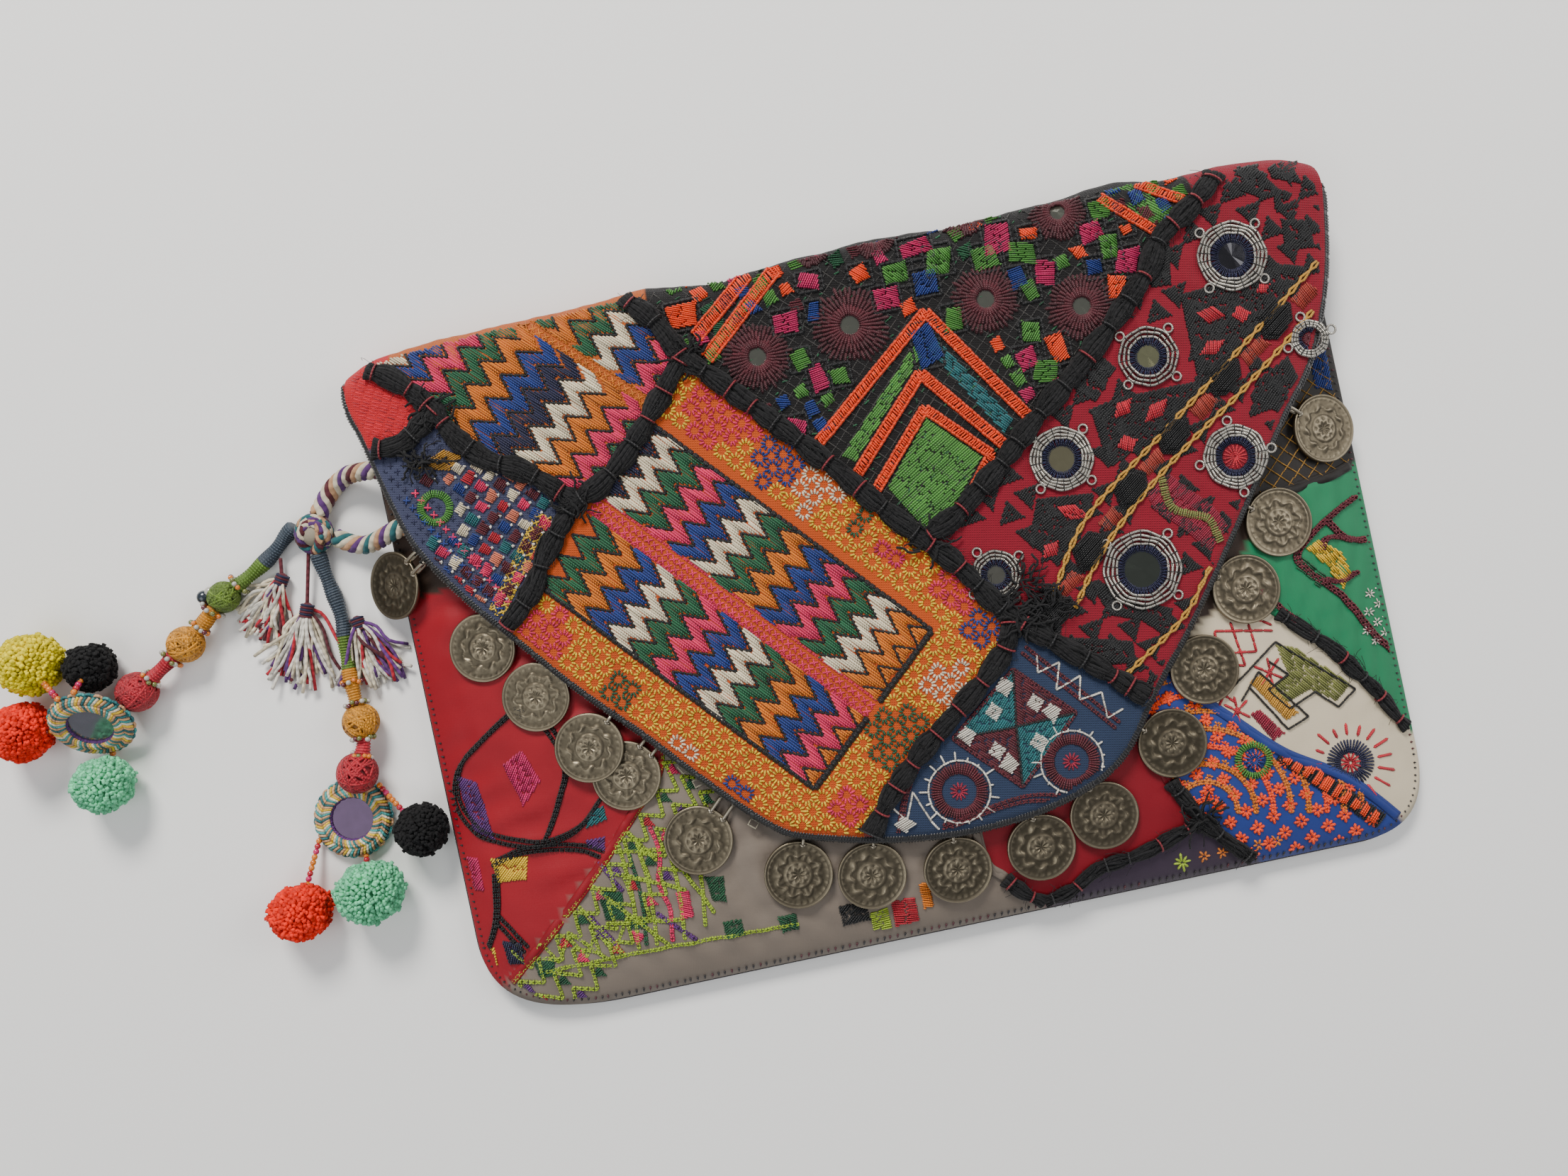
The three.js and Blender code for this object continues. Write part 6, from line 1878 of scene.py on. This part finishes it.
def pompom(name, place, diameter, stretch, tie, colour):
    place, tie = np.array(place), np.array(tie)
    heap = Heap()
    k = np.arange(TUFTS) + .5
    polar, spin = np.arccos(1 - 2 * k / TUFTS), math.pi * (1 + 5 ** .5) * k
    ways = np.stack([np.sin(polar) * np.cos(spin), np.sin(polar) * np.sin(spin), np.cos(polar)], -1)
    for way in ways:
        length = diameter / 2 * (rng.uniform(.93, 1.0) + .03 * math.sin(7 * way[0] + 5 * way[1]))
        path = np.array([way * length * .72, way * length + rng.normal(0, .35, 3)])
        path[:, 0] *= stretch
        path = path + place
        path[:, 2] = np.maximum(path[:, 2], .4)
        heap.tube(path, np.array([.6, .8]), rgb(colour) * rng.uniform(.6, 1.15), 4, turn=rng.uniform(0, 1))
    # The ball inside the tufts is a darker copy of the yarn colour: painted shade deep between the tufts.
    body = Heap()
    body.ball([0, 0, 0], diameter * .44, rgb(colour) * .55, 20, 12)
    heap.put(body.verts[0] * [stretch, 1, 1] + place, body.quads[0], body.tris[0], rgb(colour) * .55)
    gap = np.linalg.norm(place - tie)
    beads = Heap()
    line = spaced([tie, (tie + place) / 2 + [0, 0, .6], place], 1.9)
    tones = ("amber", "red", "magenta", "amber", "orange")
    for i, spot in enumerate(line[:max(3, int(len(line) * (1 - diameter * .4 / gap)) + 1)]):
        beads.ball(spot, 1.15, INK[tones[i % 5]], 9, 6)
    made = heap.made(f"yarn_{name}", FLUFF)
    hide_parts(name)
    string = beads.made(f"beads_{name}", BEAD)
    return [made, string]


def tassel(name, place, way, length, tie):
    place, tie = np.array(place), np.array(tie)
    heap = Heap()
    tones = ("cream", "white", "maroon", "white", "purple", "cream", "red", "white")
    for _ in range(TASSEL_STRANDS):
        angle = math.radians(way + rng.normal(0, 16))
        far = length * rng.uniform(.8, 1.12)
        c, s = math.cos(angle), math.sin(angle)
        level = rng.uniform(-1.4, 1.6)
        path = np.array([[0, 0, 0], [c * far * .3, s * far * .3, level],
                         [c * far * .7, s * far * .7, level * .6 - .5],
                         [c * far, s * far, -1.4 + .6 * rng.random()]])
        path[1:] += rng.normal(0, 1.1, (3, 3))
        path = spaced(path + place, 2.5)
        path[:, 2] = np.maximum(path[:, 2], .35)
        heap.tube(path, .62, INK[tones[rng.integers(len(tones))]] * rng.uniform(.7, 1.15), 6)
    angle = np.linspace(0, 2 * math.pi, 13)[:-1]
    c, s = math.cos(math.radians(way)), math.sin(math.radians(way))
    for k in range(6):
        middle = place + np.array([c, s, 0]) * (k * .8 - 1)
        ring = middle + 2.1 * (np.cos(angle)[:, None] * np.array([-s, c, 0]) + np.sin(angle)[:, None] * [0,
                                                                                                         0,
                                                                                                         1.0])
        heap.tube(ring, .45, INK["maroon" if k % 2 else "navy"], 5, closed=True)
    heap.ball(place, 2.2, INK["maroon"], 10, 7)
    heap.tube(spaced([tie, (tie + place) / 2, place], 1.2), .7, INK["maroon"], 6)
    made = heap.made(f"cut_{name}", CORDED)
    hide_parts(name)
    return made


def knot():
    heap = Heap()
    # The core ball is the cream darkened: painted shade between the loops of the knot.
    heap.ball(KNOT, 4.6, INK["cream"] * .4, 14, 10)
    t = np.linspace(0, 2 * math.pi, 50)[:-1]
    loops = [((1, 0, 0), (0, .9, .5)), ((.8, .5, 0), (-.3, .4, .8)), ((.2, 1, 0), (.6, -.2, .7)),
             ((.9, -.4, .2), (.2, .5, .8)), ((.6, .8, .1), (-.7, .4, .3))]
    for k, (a, b) in enumerate(loops):
        a, b = np.array(a) / np.linalg.norm(a), np.array(b) / np.linalg.norm(b)
        path = KNOT + 4.6 * (np.cos(t)[:, None] * a + np.sin(t)[:, None] * b) * [1.05, 1.25, .85]
        path[:, 2] = np.maximum(path[:, 2], 1.8)
        for s in range(3):
            turn = 2 * math.pi * s / 3 + 6 * t
            off = np.stack([np.cos(turn), np.sin(turn), 0 * t], -1) * .95
            heap.tube(path + off, 1.15, INK[("cream", "maroon", "tan", "purple",
                                             "teal")[(k + 2 * s) % 5]] * .8, 6, closed=True)
    made = heap.made("tied_knot", CORDED)
    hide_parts("charm_knot")
    return made


def bead_rings():
    """Seed beads wound round the strands beside the thread balls."""
    heap = Heap()
    for strand, share, reach in (("left", .34, 3.9), ("left", .49, 4.1), ("left", .58, 3.4),
                                 ("left", .75, 3.6),
                                 ("left", .87, 3.6), ("right", .57, 3.3), ("right", .66, 3.6),
                                 ("right", .81, 3.6),
                                 ("right", .88, 3.5)):
        line = spaced(ROUTES[strand], .4)
        _, side, up = frames_along(line)
        i = int(share * (len(line) - 1))
        for a in np.linspace(0, 2 * math.pi, 13)[:-1]:
            spot = line[i] + reach * (math.cos(a) * side[i] + math.sin(a) * up[i]) + rng.normal(0, .3, 3)
            spot[2] = max(spot[2], 1.0)
            heap.ball(spot, .95, INK[("silver", "amber", "silver", "maroon", "olive")[rng.integers(5)]], 8,
                      6)
    line = spaced(ROUTES["left"], .4)
    i = int(.47 * (len(line) - 1))
    heap.ball(line[i] + [-3.4, 4.2, 0], 2.5, INK["slate"] * .5, 14, 10)
    heap.ball(line[i] + [-.6, 5.6, .6], 1.9, INK["silver"], 12, 8)
    heap.made("strand_beads", BEAD)


def charms():
    tied = knot()
    bead_rings()
    balls = {row[0]: ball_of_thread(*row) for row in BALLS}
    hoops = {row[0]: crochet_ring(*row) for row in RINGS}
    left_puffs = [piece for row in POMPOMS[:4] for piece in pompom(*row)]
    right_puffs = [piece for row in POMPOMS[4:] for piece in pompom(*row)]
    fringes = [tassel(*row) for row in TASSELS]
    upper = twisted("upper", 3.3, 5, 13, ("cream", "maroon", "tan", "cream", "purple")).made("upper_cord",
                                                                                             CORDED)
    lower = twisted("lower", 3.3, 5, 13, ("cream", "tan", "purple", "cream", "teal")).made("lower_cord",
                                                                                           CORDED)
    left = wrapped("left", 2.8, ((.2, "slate"), (.42, "leaf"), (.7, "honey"), (1, "red")))
    left = left.made("left_strand", THREAD)
    right = wrapped("right", 2.8, ((.36, "slate"), (.5, "leaf"), (.78, "honey"), (1, "red")))
    right = right.made("right_strand", THREAD)
    for piece, name, key, size in ((upper, "charm_cord_upper", "upper", CORD_ACROSS),
                                   (lower, "charm_cord_lower", "lower", CORD_ACROSS),
                                   (left, "charm_strand_left", "left", STRAND_ACROSS),
                                   (right, "charm_strand_right", "right", STRAND_ACROSS)):
        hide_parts(name)
        route = metres(ROUTES[key])
        line = spaced(ROUTES[key], .5)
        far, extras = {"upper": ("knot", [tied]), "lower": ("object", []),
                       "left": ("fitting", [*hoops["left_ring"], *(balls[n] for n in balls if n[0] == "l"),
                                            *left_puffs]),
                       "right": ("fitting", [*hoops["right_ring"], *(balls[n] for n in balls if n[0] == "r"),
                                             *right_puffs, *fringes])}[key]
        tuple(route[0])
        [tuple(p) for p in route]
        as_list(extras)


charms()


# Floor and light
def floor():
    bpy.ops.object.select_all(action="DESELECT")
    bpy.ops.mesh.primitive_plane_add(size=FLOOR_SIDE, location=(0, 0, -FLOOR_GAP))
    ground = bpy.context.object
    m, tree, shader = material("paper")
    place = object_place(tree)
    level = noise(tree, place, 900, 6.0)
    colour = mixed(tree, maths(tree, "MULTIPLY", level, .3), (.86, .845, .815, 1), (.8, .785, .755, 1))
    tree.links.new(colour, shader.inputs["Base Color"])
    bump(tree, shader, level, .1, .0002)
    shader.inputs["Roughness"].default_value = .9
    ground.data.materials.append(m)


def lamp(name, place, size, power, colour=(1, 1, 1)):
    light = bpy.data.lights.new(name, "AREA")
    light.shape = "RECTANGLE"
    light.size, light.size_y = size
    light.energy = power
    light.color = colour
    obj = bpy.data.objects.new(name, light)
    bpy.context.collection.objects.link(obj)
    obj.location = Vector(place)
    obj.rotation_euler = (-Vector(place)).to_track_quat("-Z", "Y").to_euler()


floor()
lamp("key", (-.25, 1.35, 1.15), (.6, .45), 42, (1, .98, .95))
lamp("fill", (-.8, -.5, 1.3), (1.2, 1.2), 9, (.95, .98, 1))
lamp("side", (1.1, .2, .9), (.7, .7), 7)
world = bpy.data.worlds.new("room")
bpy.context.scene.world = world
world.use_nodes = True
world.node_tree.nodes["Background"].inputs["Color"].default_value = (.9, .93, 1, 1)
world.node_tree.nodes["Background"].inputs["Strength"].default_value = ROOM_LIGHT
